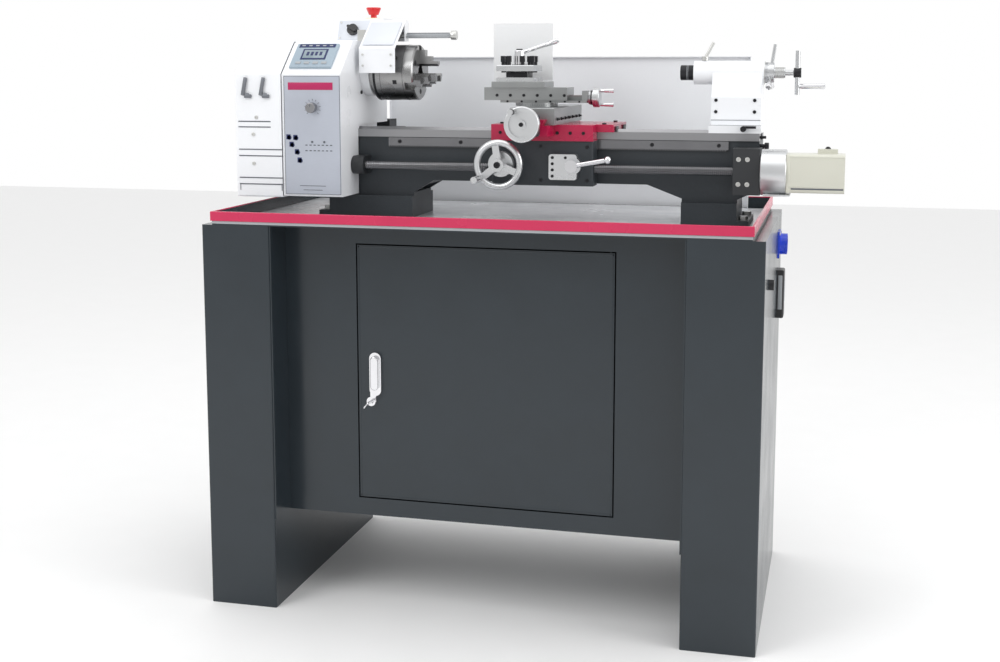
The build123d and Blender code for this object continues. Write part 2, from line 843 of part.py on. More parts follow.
def degrees_to_x(angle):
    """Return the turn about x that brings +z to an angle measured from +y."""
    return angle - 90


def make_jaw(name, angle):
    centre = machine.from_local_coords(Vector(chuck_face, spindle_y, spindle_z))
    outward = Vector(0, 1, 0).rotate(Axis.X, angle)
    jaw_plane = Plane(origin=centre, x_dir=outward, z_dir=(1, 0, 0))
    middle = (jaw_tip + jaw_reach) / 2
    steps = ((jaw_tip, jaw_reach, -jaw_depth, 14), (jaw_tip, jaw_reach - 14, 14, 28), (jaw_tip, jaw_reach - 25, 28, jaw_nose))
    with BuildPart(jaw_plane) as jaw:
        for start, end, low, high in steps:
            with Locations(((start + end) / 2, 0, low)):
                Box(end - start, jaw_width, high - low, align=(Align.CENTER, Align.CENTER, Align.MIN))
        with BuildSketch(jaw_plane.offset(-jaw_depth)):
            for turn in (1, -1):
                with Locations(Pos(jaw_tip, 0) * Rot(0, 0, 60 * turn) * Pos(0, turn * middle / 2)):
                    Rectangle(4 * jaw_width, middle)
        extrude(amount=jaw_depth + jaw_nose, mode=Mode.SUBTRACT)
    save(jaw, name)


# ---- Feed screw ----
def make_leadscrew():
    left_journal = 281.0
    with BuildPart(machine) as leadscrew:
        bar_x(left_journal, 300.5, screw_y, screw_z, journal_radius)
        bar_x(300.5, feed_bracket_left - 0.5, screw_y, screw_z, screw_radius)
        bar_x(feed_bracket_left - 0.5, housing_right - 2, screw_y, screw_z, journal_radius)
        bar_x(feed_bracket_right + 12, housing_right - 8, screw_y, screw_z, 17)
    save(leadscrew, "leadscrew")


def make_leadscrew_brackets():
    x_left = cover_right + 1
    x_right = 300.0
    front_y = 168.0
    with BuildPart(machine) as leadscrew_brackets:
        block(feed_bracket_left, feed_bracket_right, front_y, web_front, 913, 1008)
        fillet(leadscrew_brackets.edges().filter_by(Axis.Z).group_by(Axis.Y)[0], 3)
        bar_x(feed_bracket_left, feed_bracket_right, screw_y, screw_z, journal_radius + running_gap, Mode.SUBTRACT)
        for x in (1116, 1134):
            for z in (935, 986):
                bar_y(x, front_y, front_y + 5, z, 5, Mode.SUBTRACT)
        block(x_left, x_right, screw_y, web_front, screw_z - 20, screw_z + 20)
        bar_x(x_left, x_right, screw_y, screw_z, 20)
        bar_x(x_left, x_right, screw_y, screw_z, journal_radius + running_gap, Mode.SUBTRACT)
    save(leadscrew_brackets, "leadscrew_brackets")


def make_coupling_housing():
    with BuildPart(machine) as coupling_housing:
        bar_x(feed_bracket_right, housing_right, screw_y, screw_z, housing_radius)
        chamfer(coupling_housing.edges().filter_by(GeomType.CIRCLE), 1.5)
        bar_x(feed_bracket_right, housing_right - 5, screw_y, screw_z, housing_radius - 10, Mode.SUBTRACT)
        bar_x(housing_right - 5, housing_right, screw_y, screw_z, 20, Mode.SUBTRACT)
    save(coupling_housing, "coupling_housing")


def make_servo_motor():
    half = servo_size / 2
    with BuildPart(machine) as servo_motor:
        block(housing_right, overall_length, screw_y - half, screw_y + half, screw_z - half, screw_z + half)
        fillet(servo_motor.edges().filter_by(Axis.X), 7)
        block(housing_right + 60, housing_right + 100, screw_y + 10, screw_y + half - 8, screw_z + half, screw_z + half + 9)
    save(servo_motor, "servo_motor")


# ---- Carriage ----
nose_front = 120.0
cross_back = 470.0
cross_screw_z = 1057.0
cross_screw = 5.0
dovetail_foot = 27.0
dovetail_top = 33.0
dovetail_height = 12.0


def make_saddle():
    shelf_front = 180.0
    half = cross_width / 2 - 8
    wing_front = 216.0
    wing_back = 384.0
    nose_bottom = 1030.0
    with BuildPart(machine) as saddle:
        block(saddle_left, saddle_right, wing_front, wing_back, saddle_bottom, saddle_top)
        block(saddle_left + 2, apron_right, shelf_front, rack_front - 0.4, apron_top, saddle_top)
        block(cross_x - half, cross_x + half, nose_front, rack_front - 0.4, nose_bottom, saddle_top)
        block(cross_x - half, cross_x + half, bed_back - 1, cross_back, saddle_bottom, saddle_top)
        with BuildSketch(front.offset(-nose_front)):
            with BuildLine():
                Polyline(dovetail_points(cross_x, dovetail_foot, dovetail_top, saddle_top, saddle_top + dovetail_height), close=True)
            make_face()
        extrude(amount=nose_front - cross_back)
        with BuildSketch(side.offset(saddle_left)):
            with BuildLine():
                Polyline(vee_points(slide_gap), close=True)
            make_face()
        extrude(amount=saddle_length, mode=Mode.SUBTRACT)
        block(cross_x - 7, cross_x + 7, nose_front, cross_back - 15, cross_screw_z - 7, saddle_top + dovetail_height, Mode.SUBTRACT)
    save(saddle, "saddle")


wheel_x = 616.0
wheel_z = 968.0
wheel_shaft = 7.0


def make_apron():
    with BuildPart(machine) as apron:
        block(saddle_left + 2, apron_right, apron_front, rack_front - 0.4, apron_bottom, apron_top)
        fillet(apron.edges().filter_by(Axis.Z).group_by(Axis.Y)[0], 5)
        bar_x(saddle_left, apron_right, screw_y, screw_z, screw_radius + 0.5, Mode.SUBTRACT)
        bar_y(wheel_x, apron_front, apron_front + 5, wheel_z, wheel_shaft + running_gap, Mode.SUBTRACT)
    save(apron, "apron")


def make_cross_screw_bracket():
    half = 24.0
    thickness = 22.0
    with BuildPart(machine) as cross_screw_bracket:
        block(cross_x - half, cross_x + half, nose_front - thickness, nose_front, 1030, 1076)
        fillet(cross_screw_bracket.edges().filter_by(Axis.Y), 6)
        bar_y(cross_x, nose_front - thickness, nose_front, cross_screw_z, cross_screw + running_gap, Mode.SUBTRACT)
    save(cross_screw_bracket, "cross_screw_bracket")


def make_apron_handwheel():
    rim_y = 147.0
    rim_radius = 46.5
    rim_thickness = 7.0
    grip_angle = 218
    with BuildPart(machine) as apron_handwheel:
        with Locations(Pos(wheel_x, rim_y, wheel_z) * Rot(90, 0, 0)):
            Torus(rim_radius, rim_thickness)
        bar_y(wheel_x, rim_y - 12, apron_front - rest_gap, wheel_z, 14)
        bar_y(wheel_x, apron_front - 18, apron_front - rest_gap, wheel_z, 27)
        bar_y(wheel_x, apron_front - 1, apron_front + 4, wheel_z, wheel_shaft)
        for angle in (grip_angle, grip_angle + 120, grip_angle + 240):
            with BuildSketch(front.offset(-rim_y)):
                with Locations(Pos(wheel_x, wheel_z) * Rot(0, 0, angle) * Pos(rim_radius / 2, 0)):
                    Rectangle(rim_radius, 15)
            extrude(amount=4, both=True)
        with BuildSketch(front.offset(-rim_y)):
            with Locations(Pos(wheel_x, wheel_z) * Rot(0, 0, grip_angle) * Pos(rim_radius, 0)):
                Circle(7)
        extrude(amount=64)
    save(apron_handwheel, "apron_handwheel")


lever_x = 772.0
lever_z = 967.0


def make_half_nut_housing():
    front_y = 165.0
    with BuildPart(machine) as half_nut_housing:
        block(721, 781, front_y, apron_front, 937, 991)
        fillet(half_nut_housing.edges().filter_by(Axis.Y), 6)
        bar_y(lever_x, front_y, apron_front, lever_z, 18)
        bar_y(lever_x, front_y, front_y + 10, lever_z, 5 + running_gap, Mode.SUBTRACT)
    save(half_nut_housing, "half_nut_housing")


def make_half_nut_lever():
    face = 165.0 - rest_gap
    arm_y = 156.0
    reach_x = 76.0
    reach_z = 14.0
    with BuildPart(machine) as half_nut_lever:
        bar_y(lever_x, 148, face, lever_z, 13)
        bar_y(lever_x, face - 1, face + 9, lever_z, 5)
        with BuildSketch(slanted(lever_x, arm_y, lever_z, (reach_x, 0, reach_z))):
            Circle(5)
        extrude(amount=reach_x)
        with Locations((lever_x + reach_x, arm_y, lever_z + reach_z)):
            Sphere(8)
    save(half_nut_lever, "half_nut_lever")


cross_slide_front = 150.0
cross_slide_back = 450.0
cross_slide_top = 1088.0


def make_cross_slide():
    low = saddle_top + slide_gap
    roof = saddle_top + dovetail_height + slide_gap
    half = cross_width / 2
    with BuildPart(machine) as cross_slide:
        block(cross_x - half, cross_x + half, cross_slide_front, cross_slide_back, low, cross_slide_top)
        fillet(cross_slide.faces().sort_by(Axis.Z)[-1].edges(), 2)
        with BuildSketch(front.offset(-cross_slide_front)):
            with BuildLine():
                Polyline(
                    dovetail_points(cross_x, dovetail_foot + slide_gap, dovetail_top + slide_gap, low, roof),
                    close=True,
                )
            make_face()
        extrude(amount=cross_slide_front - cross_slide_back, mode=Mode.SUBTRACT)
        block(cross_x - 6, cross_x + 6, 290, 320, cross_screw_z - 6, roof)
        bar_y(cross_x, 290, 320, cross_screw_z, cross_screw + running_gap, Mode.SUBTRACT)
    save(cross_slide, "cross_slide")


def make_cross_handwheel():
    disc_front = 52.0
    disc_back = 66.0
    dial_back = nose_front - 22.0 - rest_gap
    with BuildPart(machine) as cross_handwheel:
        bar_y(cross_x, disc_front, disc_back, cross_screw_z, 37)
        fillet(cross_handwheel.edges().filter_by(GeomType.CIRCLE), 3)
        bar_y(cross_x, disc_front, disc_front + 6, cross_screw_z, 27, Mode.SUBTRACT)
        bar_y(cross_x, disc_front, disc_back, cross_screw_z, 9)
        bar_y(cross_x, disc_back, dial_back, cross_screw_z, 22)
        bar_y(cross_x, dial_back - 1, 440, cross_screw_z, cross_screw)
        with BuildSketch(front.offset(-disc_front - 4)):
            with Locations(Pos(cross_x, cross_screw_z) * Rot(0, 0, 125) * Pos(31, 0)):
                Circle(5.5)
        extrude(amount=26)
    save(cross_handwheel, "cross_handwheel")


compound_y_half = 32.0
compound_left = 590.0
compound_end = 770.0
crank_z = 1107.0
crank_screw = 4.0
compound_plate_top = 1101.0


def make_compound_base():
    with BuildPart(machine) as compound_base:
        bar_z(swivel_x, spindle_y, cross_slide_top + rest_gap, 1096, 46)
        block(compound_left, compound_end + 12, spindle_y - compound_y_half, spindle_y + compound_y_half, 1096, compound_plate_top)
        with BuildSketch(side.offset(compound_left)):
            with BuildLine():
                Polyline(dovetail_points(spindle_y, 20, 26, compound_plate_top, compound_plate_top + 11), close=True)
            make_face()
        extrude(amount=compound_end - compound_left)
        block(compound_end, compound_end + 12, spindle_y - 24, spindle_y + 24, compound_plate_top, 1122)
        block(compound_left + 8, compound_end, spindle_y - 5.5, spindle_y + 5.5, compound_plate_top + 0.5, compound_plate_top + 11, Mode.SUBTRACT)
        bar_x(compound_end, compound_end + 12, spindle_y, crank_z, crank_screw + running_gap, Mode.SUBTRACT)
    save(compound_base, "compound_base")


slide_left = 555.0
slide_right = 740.0
post_base = 1142.0
guard_pin_y = 372.0
guard_pin_z = 1136.0
guard_pin = 3.0


def make_top_slide():
    low = compound_plate_top + slide_gap
    roof = compound_plate_top + 11 + slide_gap
    with BuildPart(machine) as top_slide:
        block(slide_left, slide_right, spindle_y - 38, spindle_y + 38, low, 1129)
        block(574, 692, spindle_y - 48, spindle_y + 48, 1129, post_base)
        fillet(top_slide.faces().sort_by(Axis.Z)[-1].edges().filter_by(Axis.Z, reverse=True), 1.5)
        with BuildSketch(side.offset(slide_left)):
            with BuildLine():
                Polyline(dovetail_points(spindle_y, 20 + slide_gap, 26 + slide_gap, low, roof), close=True)
            make_face()
        extrude(amount=slide_right - slide_left, mode=Mode.SUBTRACT)
        block(640, 664, spindle_y - 5, spindle_y + 5, crank_z - 5, roof)
        bar_x(640, 664, spindle_y, crank_z, crank_screw + running_gap, Mode.SUBTRACT)
        bar_z(post_x, spindle_y, post_base, post_base + 44, 7)
        block(616, 626, spindle_y + 47, guard_pin_y, 1130, post_base)
        bar_x(616, 626, guard_pin_y, guard_pin_z, 6)
        bar_x(590, 652, guard_pin_y, guard_pin_z, guard_pin)
    save(top_slide, "top_slide")


def make_top_crank():
    hub_left = compound_end + 12 + rest_gap
    hub_right = 806.0
    with BuildPart(machine) as top_crank:
        bar_x(600, hub_right, spindle_y, crank_z, crank_screw)
        bar_x(hub_left, 792, spindle_y, crank_z, 15)
        bar_x(792, hub_right, spindle_y, crank_z, 21)
        fillet(top_crank.faces().sort_by(Axis.X)[-1].edges(), 3)
        for offset_z in (-15, 15):
            bar_x(hub_right - 2, 836, spindle_y, crank_z + offset_z, 3.5)
    save(top_crank, "top_crank")


def post_screw_spots():
    """Return the x and y of the eight clamping screws in the tool post."""
    rail = post_size / 2 - 9
    spots = [(post_x + x, spindle_y + y) for x in (-rail, rail) for y in (-15, 15)]
    return spots + [(post_x + x, spindle_y + y) for x in (-15, 15) for y in (-rail, rail)]


def make_tool_post():
    low = post_base + rest_gap
    half = post_size / 2
    with BuildPart(machine) as tool_post:
        block(post_x - half, post_x + half, spindle_y - half, spindle_y + half, low, 1177)
        chamfer(tool_post.faces().sort_by(Axis.Z)[-1].edges(), 1.5)
        block(post_x - half, post_x + half, spindle_y - half, spindle_y - 24, 1150, 1164, Mode.SUBTRACT)
        block(post_x - half, post_x + half, spindle_y + 24, spindle_y + half, 1150, 1164, Mode.SUBTRACT)
        block(post_x - half, post_x - 24, spindle_y - half, spindle_y + half, 1150, 1164, Mode.SUBTRACT)
        block(post_x + 24, post_x + half, spindle_y - half, spindle_y + half, 1150, 1164, Mode.SUBTRACT)
        bar_z(post_x, spindle_y, low, 1177, 7 + running_gap, Mode.SUBTRACT)
        for x, y in post_screw_spots():
            bar_z(x, y, 1164, 1177, 4.1, Mode.SUBTRACT)
    save(tool_post, "tool_post")


def make_tool_post_screws():
    with BuildPart(machine) as tool_post_screws:
        for x, y in post_screw_spots():
            bar_z(x, y, 1161, 1186, 4)
            block(x - 4.5, x + 4.5, y - 4.5, y + 4.5, 1184, 1197)
    save(tool_post_screws, "tool_post_screws")


def make_tool_post_lever():
    low = 1177.0 + rest_gap
    with BuildPart(machine) as tool_post_lever:
        bar_z(post_x, spindle_y, low, 1210, 12)
        fillet(tool_post_lever.faces().sort_by(Axis.Z)[-1].edges(), 3)
        bar_z(post_x, spindle_y, low, 1188, 7 + running_gap, Mode.SUBTRACT)
        with BuildSketch(slanted(post_x + 4, spindle_y, 1204, (78, 0, 25))):
            Circle(4.5)
        extrude(amount=88)
    save(tool_post_lever, "tool_post_lever")


def make_tool_guard():
    plate_front = guard_pin_y + 1
    with BuildPart(machine) as tool_guard:
        block(548, 684, plate_front, plate_front + 3, guard_pin_z + 7, 1270)
        for x_from, x_to in ((592, 615.5), (626.5, 650)):
            block(x_from, x_to, plate_front, plate_front + 3, guard_pin_z, guard_pin_z + 8)
            bar_x(x_from, x_to, guard_pin_y, guard_pin_z, 6)
            bar_x(x_from, x_to, guard_pin_y, guard_pin_z, guard_pin + running_gap, Mode.SUBTRACT)
    save(tool_guard, "tool_guard")


# ---- Tailstock ----
base_top = 1053.0
tail_end_wall = 7.0
tail_screw = 6.0
clamp_x = 1120.0
clamp_z = 1045.5


def make_tailstock_body():
    bore_end = tail_right - tail_end_wall
    with BuildPart(machine) as tailstock_body:
        block(tail_left - 2, tail_right + 3, bed_front - 2, bed_back + 2, saddle_bottom, base_top)
        block(tail_left, tail_right, 254, 346, base_top, 1110)
        with BuildSketch(side.offset(tail_left)):
            with BuildLine():
                Polyline((254, 1105), (346, 1105), (325, 1161), (275, 1161), close=True)
            make_face()
        extrude(amount=tail_length)
        bar_x(barrel_left, tail_right + 3, spindle_y, spindle_z, barrel_radius)
        bar_x(barrel_left, bore_end, spindle_y, spindle_z, quill_radius + running_gap, Mode.SUBTRACT)
        bar_x(bore_end, tail_right + 3, spindle_y, spindle_z, tail_screw + running_gap, Mode.SUBTRACT)
        with BuildSketch(side.offset(tail_left - 2)):
            with BuildLine():
                Polyline(vee_points(slide_gap), close=True)
            make_face()
        extrude(amount=tail_length + 5, mode=Mode.SUBTRACT)
        bar_y(clamp_x, bed_front - 2, bed_front + 10, clamp_z, 4 + running_gap, Mode.SUBTRACT)
    save(tailstock_body, "tailstock_body")


def make_quill():
    quill_right = tail_right - tail_end_wall - 1
    taper_end = quill_left + 62
    with BuildPart(machine) as quill:
        bar_x(quill_left, quill_right, spindle_y, spindle_z, quill_radius)
        chamfer(quill.faces().sort_by(Axis.X)[0].edges(), 1)
        with BuildSketch(Plane(origin=machine.from_local_coords(Vector(0, spindle_y, spindle_z)), x_dir=(1, 0, 0), z_dir=(0, -1, 0))):
            with BuildLine():
                Polyline((quill_left, 0), (quill_left, 8.9), (taper_end, 7.3), (taper_end, 0), close=True)
            make_face()
        revolve(axis=Axis(machine.from_local_coords(Vector(0, spindle_y, spindle_z)), (1, 0, 0)), mode=Mode.SUBTRACT)
        bar_x(taper_end + 8, quill_right, spindle_y, spindle_z, tail_screw + running_gap, Mode.SUBTRACT)
    save(quill, "quill")


def make_quill_handwheel():
    dial_left = tail_right + 3 + rest_gap
    with BuildPart(machine) as quill_handwheel:
        bar_x(quill_left + 78, 1216, spindle_y, spindle_z, tail_screw)
        bar_x(dial_left, 1176, spindle_y, spindle_z, 21)
        bar_x(1176, 1199, spindle_y, spindle_z, 11)
        chamfer(quill_handwheel.faces().sort_by(Axis.X)[-1].edges(), 1)
        for direction in ((0.15, 0, 1), (0, 0.87, -0.5), (0, -0.87, -0.5)):
            with BuildSketch(slanted(1168, spindle_y, spindle_z, direction)):
                Circle(3.5)
            extrude(amount=60)
        bar_x(1216, 1232, spindle_y, spindle_z, 10)
        bar_z(1224, spindle_y, spindle_z - 46, spindle_z + 46, 5)
        bar_x(1224, 1281, spindle_y, spindle_z - 28, 4.5)
    save(quill_handwheel, "quill_handwheel")


def make_quill_lock_lever():
    lever_foot = spindle_z + barrel_radius + rest_gap
    with BuildPart(machine) as quill_lock_lever:
        bar_z(1031, spindle_y, lever_foot, lever_foot + 9, 7)
        with BuildSketch(slanted(1031, spindle_y, lever_foot + 5, (17, 0, 32))):
            Circle(3.5)
        extrude(amount=38)
    save(quill_lock_lever, "quill_lock_lever")


def make_tailstock_clamp():
    face = bed_front - 2 - rest_gap
    with BuildPart(machine) as tailstock_clamp:
        bar_y(clamp_x, face, bed_front + 8, clamp_z, 4)
        bar_y(clamp_x, face - 12, face, clamp_z, 6)
        block(clamp_x, clamp_x + 26, face - 10, face - 5, clamp_z + 1, clamp_z + 6)
    save(tailstock_clamp, "tailstock_clamp")


make_pedestal("left_pedestal", 0)
make_pedestal("right_pedestal", stand_width - pedestal_width)
make_cabinet_shell()
make_cabinet_door()
make_door_lock_plate()
make_door_handle()
make_door_key()
make_chip_tray()
make_tray_trim()
make_splash_guard()
make_power_inlet()
make_connector_hood()
make_bed()
make_rack()
make_foot_bolts()
make_cable_conduit()
make_headstock()
make_end_plate()
make_gear_cover()
make_headstock_cover()
make_control_panel()
make_speed_knob()
make_display_unit()
make_switch_box()
make_estop_button()
make_selector_knob()
make_guard_shaft()
make_chuck_guard()
make_main_motor()
make_motor_pulley()
make_drive_belt()
make_spindle()
make_chuck_body()
for number, jaw_angle in enumerate((90, 210, 330), start=1):
    make_jaw(f"jaw_{number}", jaw_angle)
make_leadscrew()
make_leadscrew_brackets()
make_coupling_housing()
make_servo_motor()
make_saddle()
make_apron()
make_cross_screw_bracket()
make_apron_handwheel()
make_half_nut_housing()
make_half_nut_lever()
make_cross_slide()
make_cross_handwheel()
make_compound_base()
make_top_slide()
make_top_crank()
make_tool_post()
make_tool_post_screws()
make_tool_post_lever()
make_tool_guard()
make_tailstock_body()
make_quill()
make_quill_handwheel()
make_quill_lock_lever()
make_tailstock_clamp()
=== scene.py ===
"""Bench lathe on a cabinet stand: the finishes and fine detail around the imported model.

The layout measures millimetres from the stand's left front foot: x to the right, y back and z up.
"""

import logging
import math
from dataclasses import dataclass, replace
from enum import Enum
from itertools import product
from typing import Iterable, Sequence

import bmesh
import bpy
from mathutils import Matrix, Vector

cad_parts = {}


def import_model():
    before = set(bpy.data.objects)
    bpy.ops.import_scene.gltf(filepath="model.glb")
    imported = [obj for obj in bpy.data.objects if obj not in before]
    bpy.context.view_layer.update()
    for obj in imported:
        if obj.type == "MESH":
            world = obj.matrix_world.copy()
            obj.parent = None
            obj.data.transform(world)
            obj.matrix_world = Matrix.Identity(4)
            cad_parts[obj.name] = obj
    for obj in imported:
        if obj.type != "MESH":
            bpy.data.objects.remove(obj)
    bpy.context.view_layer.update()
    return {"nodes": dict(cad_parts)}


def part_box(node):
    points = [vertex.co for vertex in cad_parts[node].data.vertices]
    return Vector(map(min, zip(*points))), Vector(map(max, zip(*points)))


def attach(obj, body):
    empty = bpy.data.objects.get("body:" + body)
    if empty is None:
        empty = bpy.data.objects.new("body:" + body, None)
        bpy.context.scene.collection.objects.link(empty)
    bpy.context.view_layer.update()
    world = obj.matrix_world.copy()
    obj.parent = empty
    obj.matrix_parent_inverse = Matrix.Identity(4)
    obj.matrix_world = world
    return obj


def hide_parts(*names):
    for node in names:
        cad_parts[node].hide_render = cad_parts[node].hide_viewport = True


LOG = logging.getLogger("bench_lathe")
MM = 0.001
Colour = tuple[float, float, float]
Point = Sequence[float]
X, Y, Z = Vector((1, 0, 0)), Vector((0, 1, 0)), Vector((0, 0, 1))

# Places that several pieces share, in layout millimetres.
SPINDLE_Y, SPINDLE_Z = 300.0, 1161.0
SCREW_Y, SCREW_Z = 200.0, 959.0
APRON_WHEEL_X, APRON_WHEEL_Z = 616.0, 968.0
CROSS_WHEEL_X, CROSS_WHEEL_Z = 688.0, 1057.0
CRANK_Z = 1107.0
SWIVEL_X = 665.0
POST_X = 625.0
SADDLE_TOP = 1052.1
KNOB_X, KNOB_Z = 208.0, 1086.0


# ---- Finishes ----
def add_node(nodes, kind: str, inputs: dict | None = None, **settings):
    """Add a node.

    Args:
        nodes: The nodes that it joins.
        kind: Its type.
        inputs: The plain values of its inputs, by name or number.
        settings: Its own settings.

    Returns:
        The node.
    """
    made = nodes.new(kind)
    for key, value in settings.items():
        setattr(made, key, value)
    for key, value in (inputs or {}).items():
        made.inputs[key].default_value = value
    return made


class Grain(Enum):
    """How the fine relief of a surface runs."""

    PEEL = "even orange peel of sprayed paint"
    CAST = "lumpy skin of a sand casting"
    MOULDED = "fine pebble of moulded plastic"
    BRUSHED_X = "long scratches along x"
    BRUSHED_Y = "long scratches along y"
    TURNED = "rings of a lathe tool about an x axis"
    POLISHED = "nearly smooth, with faint marks"


STRETCH = {
    Grain.BRUSHED_X: (0.02, 1.0, 1.0),
    Grain.BRUSHED_Y: (1.0, 0.02, 1.0),
}
RAMP_ENDS = (0.2, 0.8)
BARE_STEEL = (0.32, 0.32, 0.33)


@dataclass(frozen=True)
class Finish:
    """One surface finish, with the detail that its nodes give.

    Attributes are the linear base colour, the shader's plain values, the spacing of the grain in
    millimetres, the height of its relief in millimetres, and how far colour and gloss wander.
    """

    name: str
    colour: Colour
    roughness: float
    metallic: float = 0.0
    coat: float = 0.0
    grain: Grain = Grain.PEEL
    spacing: float = 1.2
    relief: float = 0.02
    wander: float = 0.05
    gloss_wander: float = 0.06
    axis: Point = (0.0, 0.0, 0.0)
    bare_above: float = 0.0
    gloss: float = 0.5
    clear: float = 0.0

    def material(self) -> bpy.types.Material:
        """Build the node material, or hand back the one already built.

        Returns:
            The material that carries this finish.
        """
        title = f"{self.name}_finish"
        known = bpy.data.materials.get(title)
        if known is not None:
            return known
        made = bpy.data.materials.new(title)
        made.use_nodes = True
        nodes, links = made.node_tree.nodes, made.node_tree.links
        shader = nodes["Principled BSDF"]
        for key, value in (
            ("Metallic", self.metallic), ("Coat Weight", self.coat), ("Coat Roughness", 0.12),
            ("Specular IOR Level", self.gloss), ("Transmission Weight", self.clear),
        ):
            shader.inputs[key].default_value = value
        where = nodes.new("ShaderNodeTexCoord").outputs["Object"]
        fine = self._grain(nodes, links, where)
        broad = self._noise(nodes, links, where, 9.0, 3.0)
        self._tint(nodes, links, shader, fine, broad)
        self._gloss(nodes, links, shader, broad)
        bump = add_node(nodes, "ShaderNodeBump", {"Strength": 0.6, "Distance": self.relief * MM})
        links.new(fine, bump.inputs["Height"])
        links.new(bump.outputs["Normal"], shader.inputs["Normal"])
        return made

    def _noise(self, nodes, links, where, scale: float, detail: float):
        """Add a noise texture and return its value socket."""
        noise = add_node(nodes, "ShaderNodeTexNoise", {"Scale": scale, "Detail": detail})
        links.new(where, noise.inputs["Vector"])
        return noise.outputs["Fac"]

    def _grain(self, nodes, links, where):
        """Add the fine pattern of the grain.

        Args:
            nodes: The material's nodes.
            links: The material's links.
            where: The socket that gives the place on the piece.

        Returns:
            The socket of the pattern's height.
        """
        scale = 1.0 / (self.spacing * MM)
        if self.grain is Grain.TURNED:
            kind = "ShaderNodeVectorMath"
            shift = add_node(nodes, kind, {1: self.axis}, operation="SUBTRACT")
            links.new(where, shift.inputs[0])
            flat = add_node(nodes, kind, {1: (0.0, 1.0, 1.0)}, operation="MULTIPLY")
            links.new(shift.outputs[0], flat.inputs[0])
            length = add_node(nodes, kind, operation="LENGTH")
            links.new(flat.outputs[0], length.inputs[0])
            split = nodes.new("ShaderNodeSeparateXYZ")
            links.new(where, split.inputs[0])
            total = add_node(nodes, "ShaderNodeMath", operation="ADD")
            links.new(length.outputs["Value"], total.inputs[0])
            links.new(split.outputs["X"], total.inputs[1])
            plain = {"Scale": scale, "Detail": 4.0}
            rings = add_node(nodes, "ShaderNodeTexNoise", plain, noise_dimensions="1D")
            links.new(total.outputs[0], rings.inputs["W"])
            return rings.outputs["Fac"]
        even = (1.0, 1.0, 1.0)
        stretch = add_node(nodes, "ShaderNodeMapping", {"Scale": STRETCH.get(self.grain, even)})
        links.new(where, stretch.inputs["Vector"])
        detail = 6.0 if self.grain is Grain.CAST else 3.0
        return self._noise(nodes, links, stretch.outputs["Vector"], scale, detail)

    def _tint(self, nodes, links, shader, fine, broad) -> None:
        """Let the base colour wander with the grain and over wide patches."""
        blend = add_node(nodes, "ShaderNodeMath", {1: 0.45}, operation="MULTIPLY_ADD")
        links.new(fine, blend.inputs[0])
        half = add_node(nodes, "ShaderNodeMath", {1: 0.55}, operation="MULTIPLY")
        links.new(broad, half.inputs[0])
        links.new(half.outputs[0], blend.inputs[2])
        ramp = nodes.new("ShaderNodeValToRGB")
        ramp.color_ramp.interpolation = "EASE"
        for stop, place, way in zip(ramp.color_ramp.elements, RAMP_ENDS, (-1.0, 1.0)):
            stop.position = place
            stop.color = (*(min(1.0, c * (1.0 + way * self.wander)) for c in self.colour), 1.0)
        links.new(blend.outputs[0], ramp.inputs["Fac"])
        if not self.bare_above:
            links.new(ramp.outputs["Color"], shader.inputs["Base Color"])
            return
        split = nodes.new("ShaderNodeSeparateXYZ")
        links.new(nodes.new("ShaderNodeTexCoord").outputs["Object"], split.inputs[0])
        bare = add_node(nodes, "ShaderNodeMath", {1: self.bare_above}, operation="GREATER_THAN")
        links.new(split.outputs["Z"], bare.inputs[0])
        steel = nodes.new("ShaderNodeMix")
        steel.data_type = "RGBA"
        steel.inputs[7].default_value = (*BARE_STEEL, 1.0)
        links.new(bare.outputs[0], steel.inputs[0])
        links.new(ramp.outputs["Color"], steel.inputs[6])
        links.new(steel.outputs[2], shader.inputs["Base Color"])
        links.new(bare.outputs[0], shader.inputs["Metallic"])

    def _gloss(self, nodes, links, shader, broad) -> None:
        """Let the roughness wander over wide patches."""
        span = {
            "From Min": RAMP_ENDS[0], "From Max": RAMP_ENDS[1],
            "To Min": max(0.02, self.roughness - self.gloss_wander),
            "To Max": min(1.0, self.roughness + self.gloss_wander),
        }
        gloss = add_node(nodes, "ShaderNodeMapRange", span, interpolation_type="SMOOTHSTEP")
        links.new(broad, gloss.inputs["Value"])
        links.new(gloss.outputs["Result"], shader.inputs["Roughness"])


def moulded(
    name: str, colour: Colour, roughness: float, spacing: float = 0.8, **more: float
) -> Finish:
    """Return a finish with the fine pebble of moulded plastic."""
    return Finish(name, colour, roughness, grain=Grain.MOULDED, spacing=spacing, **more)


STAND_PAINT = Finish(
    "stand_paint", (0.019, 0.027, 0.034), 0.21, spacing=1.6, wander=0.12, gloss_wander=0.04,
)
CASTING_PAINT = Finish(
    "casting_paint", (0.034, 0.040, 0.046), 0.40, grain=Grain.CAST, relief=0.12, spacing=4.0,
    gloss=0.35, wander=0.15,
)
TRIM_RED = Finish("trim_red", (0.56, 0.018, 0.085), 0.25, coat=0.2, spacing=1.6)
SADDLE_RED = Finish("saddle_red", (0.42, 0.002, 0.050), 0.27, coat=0.2, spacing=1.6, relief=0.03)
WHITE_PAINT = Finish(
    "white_paint", (0.86, 0.875, 0.90), 0.30, coat=0.3, wander=0.02, spacing=1.6, gloss_wander=0.03,
)
PANEL_SILVER = Finish(
    "panel_silver", (0.50, 0.53, 0.60), 0.38, metallic=0.55, grain=Grain.BRUSHED_X, spacing=0.35,
    wander=0.07, relief=0.01,
)
DISPLAY_GREY = moulded("display_grey", (0.30, 0.38, 0.45), 0.30, coat=0.4)
BLACK_PLASTIC = moulded(
    "black_plastic", (0.018, 0.018, 0.020), 0.42, spacing=0.7, relief=0.03, wander=0.15,
)
BLUE_PLASTIC = moulded("blue_plastic", (0.012, 0.055, 0.62), 0.30, coat=0.3)
